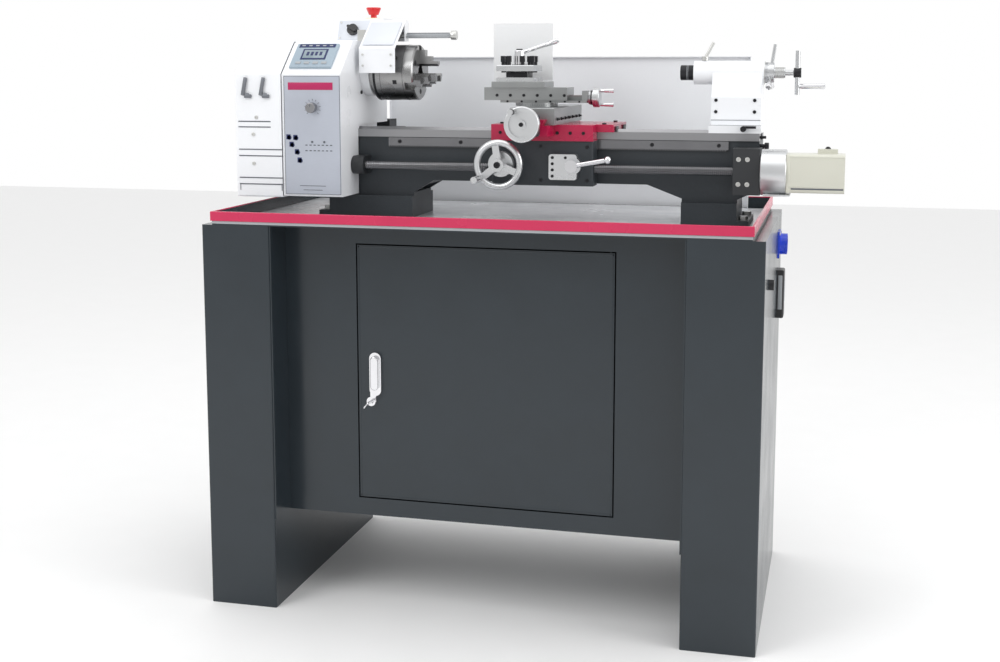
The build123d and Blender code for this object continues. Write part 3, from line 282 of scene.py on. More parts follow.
RED_PLASTIC = moulded("red_plastic", (0.68, 0.010, 0.012), 0.30, coat=0.4)
MOTOR_PAINT = Finish(
    "motor_paint", (0.022, 0.024, 0.027), 0.45, grain=Grain.CAST, relief=0.1, spacing=3.0,
)
BELT_RUBBER = moulded("belt_rubber", (0.015, 0.015, 0.015), 0.75, spacing=0.6, relief=0.05, wander=0.2)
GROUND_STEEL = Finish(
    "ground_steel", (0.60, 0.61, 0.62), 0.28, metallic=1.0, grain=Grain.BRUSHED_X, spacing=0.4,
    relief=0.006, wander=0.08,
)
BLACK_STEEL = moulded("black_steel", (0.022, 0.022, 0.025), 0.35, metallic=0.6, spacing=0.6, wander=0.2)
MACHINED_IRON = Finish(
    "machined_iron", (0.34, 0.35, 0.35), 0.32, metallic=0.85, grain=Grain.BRUSHED_Y, spacing=0.5,
    relief=0.01, wander=0.12,
)
TURNED_ALUMINIUM = moulded(
    "turned_aluminium", (0.66, 0.67, 0.68), 0.28, metallic=0.95, spacing=0.6, relief=0.008,
    wander=0.06,
)
SERVO_CREAM = Finish("servo_cream", (0.61, 0.61, 0.53), 0.40, coat=0.2, spacing=1.4, relief=0.03)
CHROME = Finish(
    "chrome", (0.78, 0.78, 0.80), 0.10, metallic=1.0, grain=Grain.POLISHED, spacing=5.0,
    relief=0.004, wander=0.03, gloss_wander=0.03,
)
ZINC = Finish(
    "zinc", (0.62, 0.62, 0.60), 0.34, metallic=0.9, grain=Grain.CAST, spacing=1.5, relief=0.01,
    wander=0.12,
)
SOFT_GREY = moulded("soft_grey", (0.36, 0.38, 0.40), 0.40)
INK_GREY = moulded("ink_grey", (0.10, 0.11, 0.13), 0.5, wander=0.12)
INK_BLUE = moulded("ink_blue", (0.012, 0.022, 0.10), 0.45, wander=0.12)
LATCH_GREY = moulded("latch_grey", (0.17, 0.18, 0.20), 0.38, metallic=0.3)
KNOB_METAL = moulded("knob_metal", (0.30, 0.30, 0.31), 0.30, metallic=0.9, spacing=0.6, relief=0.008)
LEAD_STEEL = Finish(
    "lead_steel", (0.20, 0.20, 0.21), 0.20, metallic=0.9, coat=0.5, grain=Grain.BRUSHED_X,
    spacing=0.4, relief=0.006, wander=0.1,
)
INK_RED = moulded("ink_red", (0.44, 0.010, 0.095), 0.4)
SCREEN = Finish(
    "screen", (0.20, 0.27, 0.31), 0.12, coat=1.0, grain=Grain.POLISHED, spacing=4.0, relief=0.003,
)
PALE_PLATE = Finish("pale_plate", (0.68, 0.71, 0.77), 0.35, coat=0.3)
RING_YELLOW = moulded("dull_yellow", (0.78, 0.62, 0.08), 0.4, spacing=0.9)
# Light grey for the tray floor: painted reflection of the bright room on the tray's dark paint.
TRAY_REFLECTION_GREY = Finish(
    "tray_reflection_grey", (0.66, 0.67, 0.69), 0.24, metallic=0.15, coat=0.2, spacing=2.0, wander=0.12,
)
FLOOR_PALE = Finish("floor_pale", (0.93, 0.93, 0.93), 0.7, wander=0.01, spacing=6.0, relief=0.01)
CLEAR_PLATE = Finish(
    "clear_plate", (0.93, 0.94, 0.95), 0.16, coat=0.5, clear=0.12, spacing=3.0, relief=0.01,
    wander=0.02,
)

NODE_FINISHES = {
    STAND_PAINT: ("left_pedestal", "right_pedestal", "cabinet_shell", "cabinet_door", "chip_tray"),
    CASTING_PAINT: ("apron", "cross_screw_bracket"),
    TRIM_RED: ("tray_trim",),
    SADDLE_RED: ("saddle",),
    WHITE_PAINT: (
        "splash_guard", "end_plate", "gear_cover", "headstock", "headstock_cover", "switch_box",
        "chuck_guard", "tailstock_body",
    ),
    PANEL_SILVER: ("control_panel",),
    DISPLAY_GREY: ("display_unit",),
    BLACK_PLASTIC: ("connector_hood", "selector_knob", "cable_conduit"),
    BLUE_PLASTIC: ("power_inlet",),
    RED_PLASTIC: ("estop_button",),
    MOTOR_PAINT: ("main_motor", "leadscrew_brackets"),
    BELT_RUBBER: ("drive_belt",),
    BLACK_STEEL: ("quill", "tool_post_screws", "tailstock_clamp"),
    MACHINED_IRON: ("cross_slide", "compound_base", "top_slide"),
    TURNED_ALUMINIUM: (
        "coupling_housing", "half_nut_housing", "apron_handwheel", "cross_handwheel",
        "motor_pulley",
    ),
    KNOB_METAL: ("speed_knob",),
    SERVO_CREAM: ("servo_motor",),
    CHROME: ("door_lock_plate", "door_handle", "door_key", "half_nut_lever", "tool_post_lever"),
    ZINC: ("foot_bolts", "guard_shaft", "quill_lock_lever"),
    LEAD_STEEL: ("rack", "leadscrew"),
    GROUND_STEEL: ("tool_post", "quill_handwheel", "top_crank"),
    CLEAR_PLATE: ("tool_guard",),
}
TURNED_NODES = ("spindle", "chuck_body", "jaw_1", "jaw_2", "jaw_3")


def dress_nodes(nodes: dict[str, bpy.types.Object], spindle_axis: Vector) -> None:
    """Give every CAD node its finish.

    Args:
        nodes: The CAD nodes by name.
        spindle_axis: A point on the spindle's axis, in metres.
    """
    turned = Finish(
        "turned_steel", (0.31, 0.31, 0.31), 0.26, metallic=1.0, grain=Grain.TURNED,
        spacing=0.7, relief=0.012, wander=0.14, axis=tuple(spindle_axis),
    )
    plan = {name: finish for finish, names in NODE_FINISHES.items() for name in names}
    plan.update({name: turned for name in TURNED_NODES})
    way_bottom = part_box("bed")[1].z - 22.0 * MM
    plan["bed"] = replace(CASTING_PAINT, name="bed_casting", bare_above=way_bottom)
    for name, node in nodes.items():
        if name in plan:
            paint(node, plan[name].material())


def paint(thing: bpy.types.Object, material: bpy.types.Material) -> None:
    """Put one material on all of an object's slots."""
    if not thing.material_slots:
        thing.data.materials.append(material)
    for slot in thing.material_slots:
        slot.material = material


# ---- Studio ----
@dataclass
class Studio:
    """The floor, the soft lights and the camera."""

    camera_spot: Point = (1330.6, -2639.0, 1171.0)
    camera_pan: float = 14.31
    camera_tilt: float = 7.66
    lens: float = 49.0
    shift_down: float = 0.08
    front_light: float = 0.72
    floor_half: float = 9.0

    def build(self) -> None:
        """Set out the floor, the lights and the camera."""
        self._floor()
        self._world()
        self._light("key", (-1500, -2600, 3000), 1.6, 34.0)
        self._light("side", (3600, -300, 1900), 1.8, 30.0)
        self._light("above", (620, -600, 3600), 3.0, 26.0)
        self._camera()

    def _floor(self) -> None:
        """Lay the plain pale floor."""
        shape = bmesh.new()
        bmesh.ops.create_grid(shape, x_segments=1, y_segments=1, size=self.floor_half)
        mesh = bpy.data.meshes.new("floor")
        shape.to_mesh(mesh)
        shape.free()
        floor = bpy.data.objects.new("floor", mesh)
        bpy.context.collection.objects.link(floor)
        mesh.materials.append(FLOOR_PALE.material())

    def _world(self) -> None:
        """Light the whole scene evenly with white."""
        world = bpy.data.worlds.new("white_room")
        world.use_nodes = True
        nodes, links = world.node_tree.nodes, world.node_tree.links
        room = nodes["Background"]
        split = nodes.new("ShaderNodeSeparateXYZ")
        links.new(nodes.new("ShaderNodeTexCoord").outputs["Generated"], split.inputs[0])
        span = {"From Min": -0.55, "From Max": 0.05, "To Min": self.front_light, "To Max": 1.0}
        turn = add_node(nodes, "ShaderNodeMapRange", span, interpolation_type="SMOOTHSTEP")
        links.new(split.outputs["Y"], turn.inputs["Value"])
        links.new(turn.outputs["Result"], room.inputs["Strength"])
        backdrop = add_node(nodes, "ShaderNodeBackground", {"Strength": 1.0})
        seen = nodes.new("ShaderNodeMixShader")
        links.new(nodes.new("ShaderNodeLightPath").outputs["Is Camera Ray"], seen.inputs["Fac"])
        links.new(room.outputs[0], seen.inputs[1])
        links.new(backdrop.outputs[0], seen.inputs[2])
        links.new(seen.outputs[0], nodes["World Output"].inputs["Surface"])
        for shade in (room, backdrop):
            shade.inputs["Color"].default_value = (1.0, 1.0, 1.0, 1.0)
        bpy.context.scene.world = world
        bpy.context.scene.view_settings.view_transform = "Standard"

    def _light(self, name: str, spot: Point, size: float, power: float) -> None:
        """Hang one soft square lamp that faces the machine."""
        lamp = bpy.data.lights.new(name, "AREA")
        lamp.energy = power
        lamp.size = size
        hung = bpy.data.objects.new(name, lamp)
        hung.location = at(*spot)
        hung.rotation_euler = (at(620, 300, 800) - hung.location).to_track_quat("-Z", "Y").to_euler()
        bpy.context.collection.objects.link(hung)

    def _camera(self) -> None:
        """Set up the camera."""
        view = bpy.data.cameras.new("camera")
        view.lens = self.lens
        view.sensor_width = 36.0
        view.shift_y = -self.shift_down
        view.clip_end = 50.0
        held = bpy.data.objects.new("camera", view)
        held.location = at(*self.camera_spot)
        held.rotation_euler = (math.radians(90.0 - self.camera_tilt), 0.0, math.radians(self.camera_pan))
        bpy.context.collection.objects.link(held)
        bpy.context.scene.camera = held


class Layout:
    """The layout's origin, in metres."""

    origin: Vector = Vector()


def at(x: float, y: float, z: float) -> Vector:
    """Return the place, in metres, of a point of the layout."""
    return Layout.origin + Vector((x, y, z)) * MM


# ---- Modelling ----
class Mould:
    """Gathers the closed shells of one piece, in layout millimetres."""

    def __init__(self) -> None:
        """Start an empty piece."""
        self.shape = bmesh.new()
        self.paints: list[bpy.types.Material] = []
        self.paint = 0

    def use(self, finish: Finish) -> "Mould":
        """Choose the finish of the shells that follow."""
        material = finish.material()
        if material not in self.paints:
            self.paints.append(material)
        self.paint = self.paints.index(material)
        return self

    def _keep(self, shell: bmesh.types.BMesh) -> "Mould":
        """Give a finished shell the finish in use and add it to the piece."""
        for face in shell.faces:
            face.material_index = self.paint
            face.smooth = True
        carried = bpy.data.meshes.new("shell")
        shell.to_mesh(carried)
        shell.free()
        self.shape.from_mesh(carried)
        bpy.data.meshes.remove(carried)
        return self

    @staticmethod
    def _bevel(shell: bmesh.types.BMesh, edges: Iterable, width: float) -> None:
        """Round a set of edges of a shell."""
        bmesh.ops.bevel(
            shell, geom=list(edges), offset=width * MM, offset_type="OFFSET", segments=2,
            profile=0.5, affect="EDGES", material=-1, clamp_overlap=True,
        )

    def box(
        self, low: Point, high: Point, round_by: float = 0.0, turn: Matrix | None = None
    ) -> "Mould":
        """Add a box between two corners.

        Args:
            low: The lowest corner.
            high: The highest corner.
            round_by: How far its edges are rounded.
            turn: A turn about the box's middle, if any.

        Returns:
            The mould itself.
        """
        shell = bmesh.new()
        made = bmesh.ops.create_cube(shell, size=1.0)["verts"]
        centre = (at(*low) + at(*high)) / 2
        size = at(*high) - at(*low)
        spin = turn.to_4x4() if turn else Matrix.Identity(4)
        place = Matrix.Translation(centre) @ spin @ Matrix.Diagonal((*size, 1.0))
        bmesh.ops.transform(shell, verts=made, matrix=place)
        if round_by:
            self._bevel(shell, {edge for vert in made for edge in vert.link_edges}, round_by)
        return self._keep(shell)

    def rod(
        self, start: Point, end: Point, radius: float, end_radius: float | None = None,
        round_by: float = 0.0, sides: int = 28,
    ) -> "Mould":
        """Add a round rod or cone between two points.

        Args:
            start: The middle of its first end.
            end: The middle of its other end.
            radius: Its radius at the start.
            end_radius: Its radius at the end, where that differs.
            round_by: How far its rims are rounded.
            sides: How many facets go round it.

        Returns:
            The mould itself.
        """
        shell = bmesh.new()
        a, b = at(*start), at(*end)
        last = radius if end_radius is None else end_radius
        place = Matrix.Translation((a + b) / 2) @ (b - a).to_track_quat("Z", "Y").to_matrix().to_4x4()
        bmesh.ops.create_cone(
            shell, cap_ends=True, segments=sides, radius1=radius * MM, radius2=last * MM,
            depth=(b - a).length, matrix=place,
        )
        if round_by:
            fresh = list(shell.faces)
            rims = {edge for face in fresh if len(face.verts) == sides for edge in face.edges}
            self._bevel(shell, rims, round_by)
        return self._keep(shell)

    def ring(
        self, centre: Point, axis: Vector, radius: float, wire: float, steps: int = 64, sides: int = 14
    ) -> "Mould":
        """Add a round ring.

        Args:
            centre: The middle of the ring.
            axis: The direction it turns about.
            radius: From the middle to the middle of its wire.
            wire: The radius of the wire.
            steps: How many facets go round the ring.
            sides: How many facets go round the wire.

        Returns:
            The mould itself.
        """
        shell = bmesh.new()
        place = Matrix.Translation(at(*centre)) @ axis.to_track_quat("Z", "Y").to_matrix().to_4x4()
        aside = place @ Matrix.Translation((radius * MM, 0, 0))
        loop = bmesh.ops.create_circle(
            shell, cap_ends=False, segments=sides, radius=wire * MM,
            matrix=aside @ Matrix.Rotation(math.pi / 2, 4, "X"),
        )["verts"]
        edges = list({edge for vert in loop for edge in vert.link_edges})
        bmesh.ops.spin(
            shell, geom=loop + edges, cent=at(*centre), axis=place.to_3x3() @ Z, dvec=(0, 0, 0),
            angle=math.tau, steps=steps, use_merge=True, use_duplicate=False,
        )
        bmesh.ops.remove_doubles(shell, verts=shell.verts, dist=1e-7)
        return self._keep(shell)

    def screw(self, spot: Point, out: Vector, radius: float, height: float) -> "Mould":
        """Add a cap screw head with a hexagon socket.

        Args:
            spot: The middle of the head's seat.
            out: The direction the head faces.
            radius: The head's radius.
            height: How far the head stands out.

        Returns:
            The mould itself.
        """
        shell = bmesh.new()
        sides = 24
        facing = out.normalized()
        turned = facing.to_track_quat("Z", "Y").to_matrix().to_4x4()
        place = Matrix.Translation(at(*spot) + facing * height * MM / 2) @ turned
        bmesh.ops.create_cone(
            shell, cap_ends=True, segments=sides, radius1=radius * MM, radius2=radius * MM,
            depth=height * MM, matrix=place,
        )
        fresh = list(shell.faces)
        tops = [face for face in fresh if len(face.verts) == sides]
        top = max(tops, key=lambda face: face.calc_center_median().dot(facing))
        self._bevel(shell, list(top.edges), radius * 0.12)
        caps = [face for face in shell.faces if len(face.verts) == sides]
        top = max(caps, key=lambda face: face.calc_center_median().dot(facing))
        hub = top.calc_center_median()
        bmesh.ops.inset_region(shell, faces=[top], thickness=radius * 0.4 * MM, use_even_offset=True)
        for vert in top.verts:
            arm = place.to_3x3().inverted() @ (vert.co - hub)
            angle = math.atan2(arm.y, arm.x) % (math.pi / 3) - math.pi / 6
            arm = arm.normalized() * radius * MM * 0.48 * math.cos(math.pi / 6) / math.cos(angle)
            vert.co = hub + place.to_3x3() @ arm
        sunk = bmesh.ops.extrude_face_region(shell, geom=[top])["geom"]
        down = [item for item in sunk if isinstance(item, bmesh.types.BMVert)]
        bmesh.ops.translate(shell, verts=down, vec=-facing * height * 0.55 * MM)
        if top.is_valid:
            bmesh.ops.delete(shell, geom=[top], context="FACES_ONLY")
        return self._keep(shell)

    def screws(
        self, xs: Iterable, ys: Iterable, zs: Iterable, out: Vector, radius: float, height: float
    ) -> "Mould":
        """Add a cap screw at every meeting of the given x, y and z.

        Args:
            xs: The places along x.
            ys: The places along y.
            zs: The places along z.
            out: The direction the heads face.
            radius: The radius of a head.
            height: How far the heads stand out.

        Returns:
            The mould itself.
        """
        for spot in product(xs, ys, zs):
            self.screw(spot, out, radius, height)
        return self

    def border(self, low: Point, high: Point, width: float, round_by: float = 0.0) -> "Mould":
        """Add four strips just inside an upright rectangle.

        Args:
            low: The lowest corner of the whole border.
            high: The highest corner of the whole border.
            width: How wide its strips are.
            round_by: How far their edges are rounded.

        Returns:
            The mould itself.
        """
        for start, end in ((low[2], low[2] + width), (high[2] - width, high[2])):
            self.box((low[0], low[1], start), (high[0], high[1], end), round_by)
        for start, end in ((low[0], low[0] + width), (high[0] - width, high[0])):
            self.box((start, low[1], low[2]), (end, high[1], high[2]), round_by)
        return self

    def marks(
        self, axis: Vector, centre: Point, radius: float, count: int, reach: float,
        fifth_reach: float, width: float = 0.35, sides: int = 5,
    ) -> "Mould":
        """Add a ring of fine bars that run along an axis.

        Args:
            axis: The axis, X or Y.
            centre: The middle of the circle where the bars start.
            radius: The circle's radius.
            count: How many bars there are.
            reach: How long a bar is.
            fifth_reach: How long every fifth bar is.
            width: The radius of a bar.
            sides: How many facets go round a bar.

        Returns:
            The mould itself.
        """
        for number in range(count):
            spot = around(axis, centre, radius, math.tau * number / count)
            end = spot + axis * (reach if number % 5 else fifth_reach)
            self.rod(spot, end, width, sides=sides)
        return self

    def done(self, name: str, body: str, slot: str, replaces: Sequence[str] = ()) -> bpy.types.Object:
        """Make the finished piece and hang it on its body.

        Args:
            name: The piece's name.
            body: The CAD body it rides on.
            slot: The name of the record's material slot for it; not used.
            replaces: The CAD nodes that it stands for.

        Returns:
            The finished object.
        """
        bmesh.ops.recalc_face_normals(self.shape, faces=self.shape.faces)
        mesh = bpy.data.meshes.new(name)
        self.shape.to_mesh(mesh)
        self.shape.free()
        for material in self.paints:
            mesh.materials.append(material)
        mesh.set_sharp_from_angle(angle=math.radians(32))
        piece = bpy.data.objects.new(name, mesh)
        bpy.context.collection.objects.link(piece)
        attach(piece, body)
        if replaces:
            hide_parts(*replaces)
        LOG.info("%s rides on %s", name, body)
        return piece


def low(node: str) -> Vector:
    """Return a node's lowest corner in layout millimetres."""
    return (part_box(node)[0] - Layout.origin) / MM


def high(node: str) -> Vector:
    """Return a node's highest corner in layout millimetres."""
    return (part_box(node)[1] - Layout.origin) / MM


def middle(node: str) -> Vector:
    """Return the middle of a node's box in layout millimetres."""
    return (low(node) + high(node)) / 2


def around(axis: Vector, centre: Point, radius: float, turn: float) -> Vector:
    """Return the point of a circle at a turn, for a circle about X, Y or Z."""
    across, up = (Y, Z) if axis == X else (X, Z) if axis == Y else (X, Y)
    return Vector(centre) + (across * math.cos(turn) + up * math.sin(turn)) * radius


@dataclass(frozen=True)
class Slope:
    """A flat face that leans back, given by its middle, its rise and its run."""

    centre: Point
    rise: float
    run: float

    def up(self) -> Vector:
        """Return the direction up the face."""
        return Vector((0, self.run, self.rise)).normalized()

    def out(self) -> Vector:
        """Return the direction out of the face."""
        return Vector((0, -self.rise, self.run)).normalized()

    def spot(self, x: float, up: float, out: float) -> Vector:
        """Return a place counted from the middle along, up and out of the face."""
        return Vector(self.centre) + X * x + self.up() * up + self.out() * out

    def plate(self, mould: Mould, spot: Vector, half: Point, round_by: float) -> None:
        """Add a plate that lies along the face.

        Args:
            mould: The piece that it joins.
            spot: The plate's middle.
            half: Half its width, height and thickness.
            round_by: How far its edges are rounded.
        """
        tilt = Matrix((X, self.up(), self.out())).transposed()
        mould.box(spot - Vector(half), spot + Vector(half), round_by, tilt)


def on_spindle(x: float) -> Point:
    """Return the point of the spindle's axis at one x."""
    return x, SPINDLE_Y, SPINDLE_Z


def on_screw(x: float) -> Point:
    """Return the point of the feed screw's axis at one x."""
    return x, SCREW_Y, SCREW_Z


# ---- Stand ----
@dataclass
class StandDress:
    """The tray's edge with a painted highlight, its floor's painted reflection, the inlet, the hood and
    the screws of the stand.
    """

    edge_height: float = 6.0

    def build(self) -> None:
        """Build the stand's detail."""
        self._tray_painted_light()
        self._connectors()
        self._door_border()

    def _tray_painted_light(self) -> None:
        """Run the folded edge under the red trim as a painted highlight, and lay the tray floor's
        painted reflection.
        """
        left, right = low("chip_tray"), high("chip_tray")
        under = low("tray_trim").z
        # The fold is drawn in a lighter grey than the tray's dark paint: a painted highlight along it.
        edge = Mould().use(SOFT_GREY)
        bottom = under - self.edge_height
        edge.box((left.x, left.y - 1.6, bottom), (right.x, left.y - 0.1, under - 0.4), 0.4)
        edge.done("tray_fold_highlight", "stand", "stand_paint")
        inner_low, inner_high = left + Vector((3, 3, 0)), right - Vector((3, 17, 0))
        floor, feet_front, feet_back = 842.05, 221.0, 379.0
        # A light grey sheet over the tray floor, round the feet: painted reflection on the tray's dark
        # paint.
        reflection_sheet = Mould().use(TRAY_REFLECTION_GREY)
        for x_from, x_to, y_from, y_to in (
            (inner_low.x, inner_high.x, inner_low.y, feet_front),
            (inner_low.x, inner_high.x, feet_back, inner_high.y),
            (inner_low.x, 179.0, feet_front, feet_back),
            (401.0, 993.0, feet_front, feet_back),
            (1136.0, inner_high.x, feet_front, feet_back),
        ):
            reflection_sheet.box((x_from, y_from, floor), (x_to, y_to, floor + 0.35))
        reflection_sheet.done("tray_floor_reflection", "stand", "stand_paint")

    def _connectors(self) -> None:
        """Add the latches, screws and cap of the side connectors."""
        hood_low, hood_high = low("connector_hood"), high("connector_hood")
        mid_y = 500.0
        latch = Mould().use(SOFT_GREY)
        for side in (-1, 1):
            y = mid_y + side * 22.6
            latch.box((hood_low.x + 3, y - 0.5, 626), (hood_low.x + 12, y + 0.5 + 0.4, 704), 0.3)
        latch.box((hood_high.x - 0.2, mid_y - 15, 640), (hood_high.x + 0.8, mid_y + 15, 690), 0.3)
        latch.done("hood_latch", "stand", "black_plastic")
        inlet = Mould().use(ZINC)
        plate = low("power_inlet").x + 4
        inlet.screws((plate,), (475.0, 525.0), (749.0, 799.0), X, 3.0, 1.8)
        inlet.use(BLUE_PLASTIC).ring((plate + 14.5, mid_y, 774.0), X, 22.4, 1.4, 48, 10)
        inlet.done("inlet_screws", "stand", "blue_plastic")

    def _door_border(self) -> None:
        """Add the door's folded face border."""
        left, right = low("cabinet_door"), high("cabinet_door")
        border = Mould().use(STAND_PAINT)
        proud, inset = 0.35, 2.0
        first = (left.x + inset, left.y - proud, left.z + inset)
        border.border(first, (right.x - inset, left.y + 0.05, right.z - inset), 3.0, 0.15)
        border.done("door_border", "door", "stand_paint")


# ---- Headstock ----
@dataclass
class HeadstockDress:
    """The latches, louvres, panel marks, display and switch panel."""

    panel_marks: tuple = ((146, 1017), (162, 1016), (153, 1001), (165, 985), (171, 967))
    louvre_lines: tuple = (1055.0, 1043.0, 994.0, 980.0, 932.0, 918.0)

    def build(self) -> None:
        """Build the headstock's detail."""
        self._cover_front()
        self._panel()
        self._display()
        self._switch_panel()
        self._spindle_nose()

    def _cover_front(self) -> None:
        """Add the two latches, the screws and the pressed lines of the gear cover."""
        left, right = low("gear_cover"), high("gear_cover")
        face = left.y
        trim = Mould().use(LATCH_GREY)
        for x in (left.x + 26, left.x + 68):
            trim.rod((x + 4, face - 5, 1112), (x + 4, face, 1112), 5.5, round_by=0.8)
            lean = Matrix.Rotation(0.2, 3, "Y")
            trim.box((x - 6, face - 6.5, 1111), (x + 2, face - 2, 1151), 1.4, lean)
            trim.box((x - 2, face - 6.0, 1106), (x + 15, face - 2, 1114), 1.4)
        trim.use(ZINC)
        for x, z in ((left.x + 42, 1027), (left.x + 42, 963), (left.x + 50, 1064)):
            trim.screw((x, face, z), -Y, 4.0, 2.4)
        trim.use(INK_GREY)
        for number, z in enumerate(self.louvre_lines):
            short = 34 if number < 2 else 8
            trim.box((left.x + 7, face - 0.8, z - 1.2), (right.x - short, face + 0.1, z + 1.2), 0.3)
        for x in (left.x + 9, right.x - 10):
            trim.box((x - 0.8, face - 0.8, 904), (x + 0.8, face + 0.1, 918), 0.3)
        trim.done("gear_cover_fittings", "gear_cover", "white_paint")

    def _panel(self) -> None:
        """Add the red strip, border, symbols and marks of the control panel."""
        left, right = low("control_panel"), high("control_panel")
        face = left.y
        marks = Mould().use(INK_RED)
        marks.box((left.x + 10, face - 0.5, right.z - 30), (right.x - 16, face + 0.1, right.z - 14), 0.1)
        marks.use(INK_GREY)
        marks.border((left.x, face - 0.4, left.z), (right.x, face + 0.1, right.z), 1.0)
        marks.use(INK_BLUE)
        for x, z in self.panel_marks:
            marks.box((x, face - 0.5, z), (x + 10, face + 0.1, z + 11), 0.3)
            marks.rod((x + 7, face - 0.5, z + 4), (x + 7, face + 0.1, z + 4), 5.0, sides=18)
        marks.use(INK_GREY)
        for column in range(7):
            for row in range(2):
                x, z = 190 + column * 9.5, 1004 - row * 12
                marks.box((x, face - 0.4, z), (x + 5, face + 0.1, z + 2.2))
        for x in (206, 234):
            marks.rod((x, face - 1.2, 1012), (x, face + 0.1, 1012), 2.4, sides=16)
        for z, half in ((916, 30), (907, 22), (898, 15)):
            marks.box((206 - half, face - 0.35, z), (206 + half, face + 0.1, z + 1.2))
        for tick in range(11):
            angle = math.radians(-135 + tick * 27)
            spot = Vector((math.sin(angle), 0, math.cos(angle)))
            dial = Vector((KNOB_X, face - 0.2, KNOB_Z))
            marks.rod(dial + spot * 15, dial + spot * 19, 0.5, sides=6)
        marks.done("panel_marks", "stand", "panel_aluminium")
        pointer = Mould().use(INK_GREY)
        knob = middle("speed_knob")
        face = low("speed_knob").y
        pointer.box((knob.x - 0.7, face - 0.25, knob.z + 2), (knob.x + 0.7, face + 0.3, knob.z + 9))
        pointer.marks(Y, (knob.x, knob.y - 4, knob.z), 10.8, 24, 7, 7, 0.55, 6)
        pointer.done("knob_pointer", "speed_knob", "cast_aluminium")

    def _display(self) -> None:
        """Add the dark band, the framed screen and the keys of the display."""
        slope = Slope((199.0, 165.0, 1194.5), 71.0, 80.0)
        unit_depth = 6.0
        face = Mould()

        def tile(x: float, up: float, width: float, tall: float, thick: float, finish: Finish) -> None:
            """Add one raised tile on the display's face."""
            face.use(finish)
            spot = slope.spot(x, up, unit_depth + thick / 2)
            slope.plate(face, spot, (width / 2, tall / 2, thick / 2), 0.25)

        tile(0, 30, 84, 11, 0.7, INK_BLUE)
        for step in range(5):
            tile(-32 + step * 16, 30, 8, 3.4, 1.0, SOFT_GREY)
        tile(0, 2, 58, 34, 0.9, INK_BLUE)
        tile(0, 2, 50, 26, 1.3, SCREEN)
        for step in range(4):
            tile(-15 + step * 10, 3, 6, 12, 1.6, INK_BLUE)
        for step in range(4):
            tile(-30 + step * 20, -26, 12, 7, 1.4, SOFT_GREY)
        face.done("display_face", "stand", "display_plastic")

    def _switch_panel(self) -> None:
        """Add the tinted plate, dial ring and screws of the switch box."""
        slope = Slope((232.0, 355.0, 1257.0), 54.0, 20.0)
        plate = Mould().use(PALE_PLATE)
        slope.plate(plate, slope.spot(0, 0, 0.3), (50, 24, 0.4), 0.3)
        plate.use(ZINC)
        for x in (-45, 45):
            for up in (-19, 19):
                plate.screw(slope.spot(x, up, 0.7), slope.out(), 2.2, 1.4)
        plate.use(RING_YELLOW)
        seat = Vector((253, 398, high("switch_box").z - 2.4))
        plate.rod(seat, seat + Z * 1.6, 21.0, round_by=0.3, sides=40)
        plate.done("switch_plate", "stand", "white_paint")

    def _spindle_nose(self) -> None:
        """Add the bolts on the headstock's face."""
        nose = Mould().use(BLACK_STEEL)
        face = high("headstock_cover").x
        for angle in (45, 135, 225, 315):
            y = SPINDLE_Y + 66 * math.cos(math.radians(angle))
            z = SPINDLE_Z + 62 * math.sin(math.radians(angle))
            if y > 236:
                nose.screw((face, y, z), X, 4.0, 3.0)
        nose.done("headstock_screws", "stand", "black_steel")


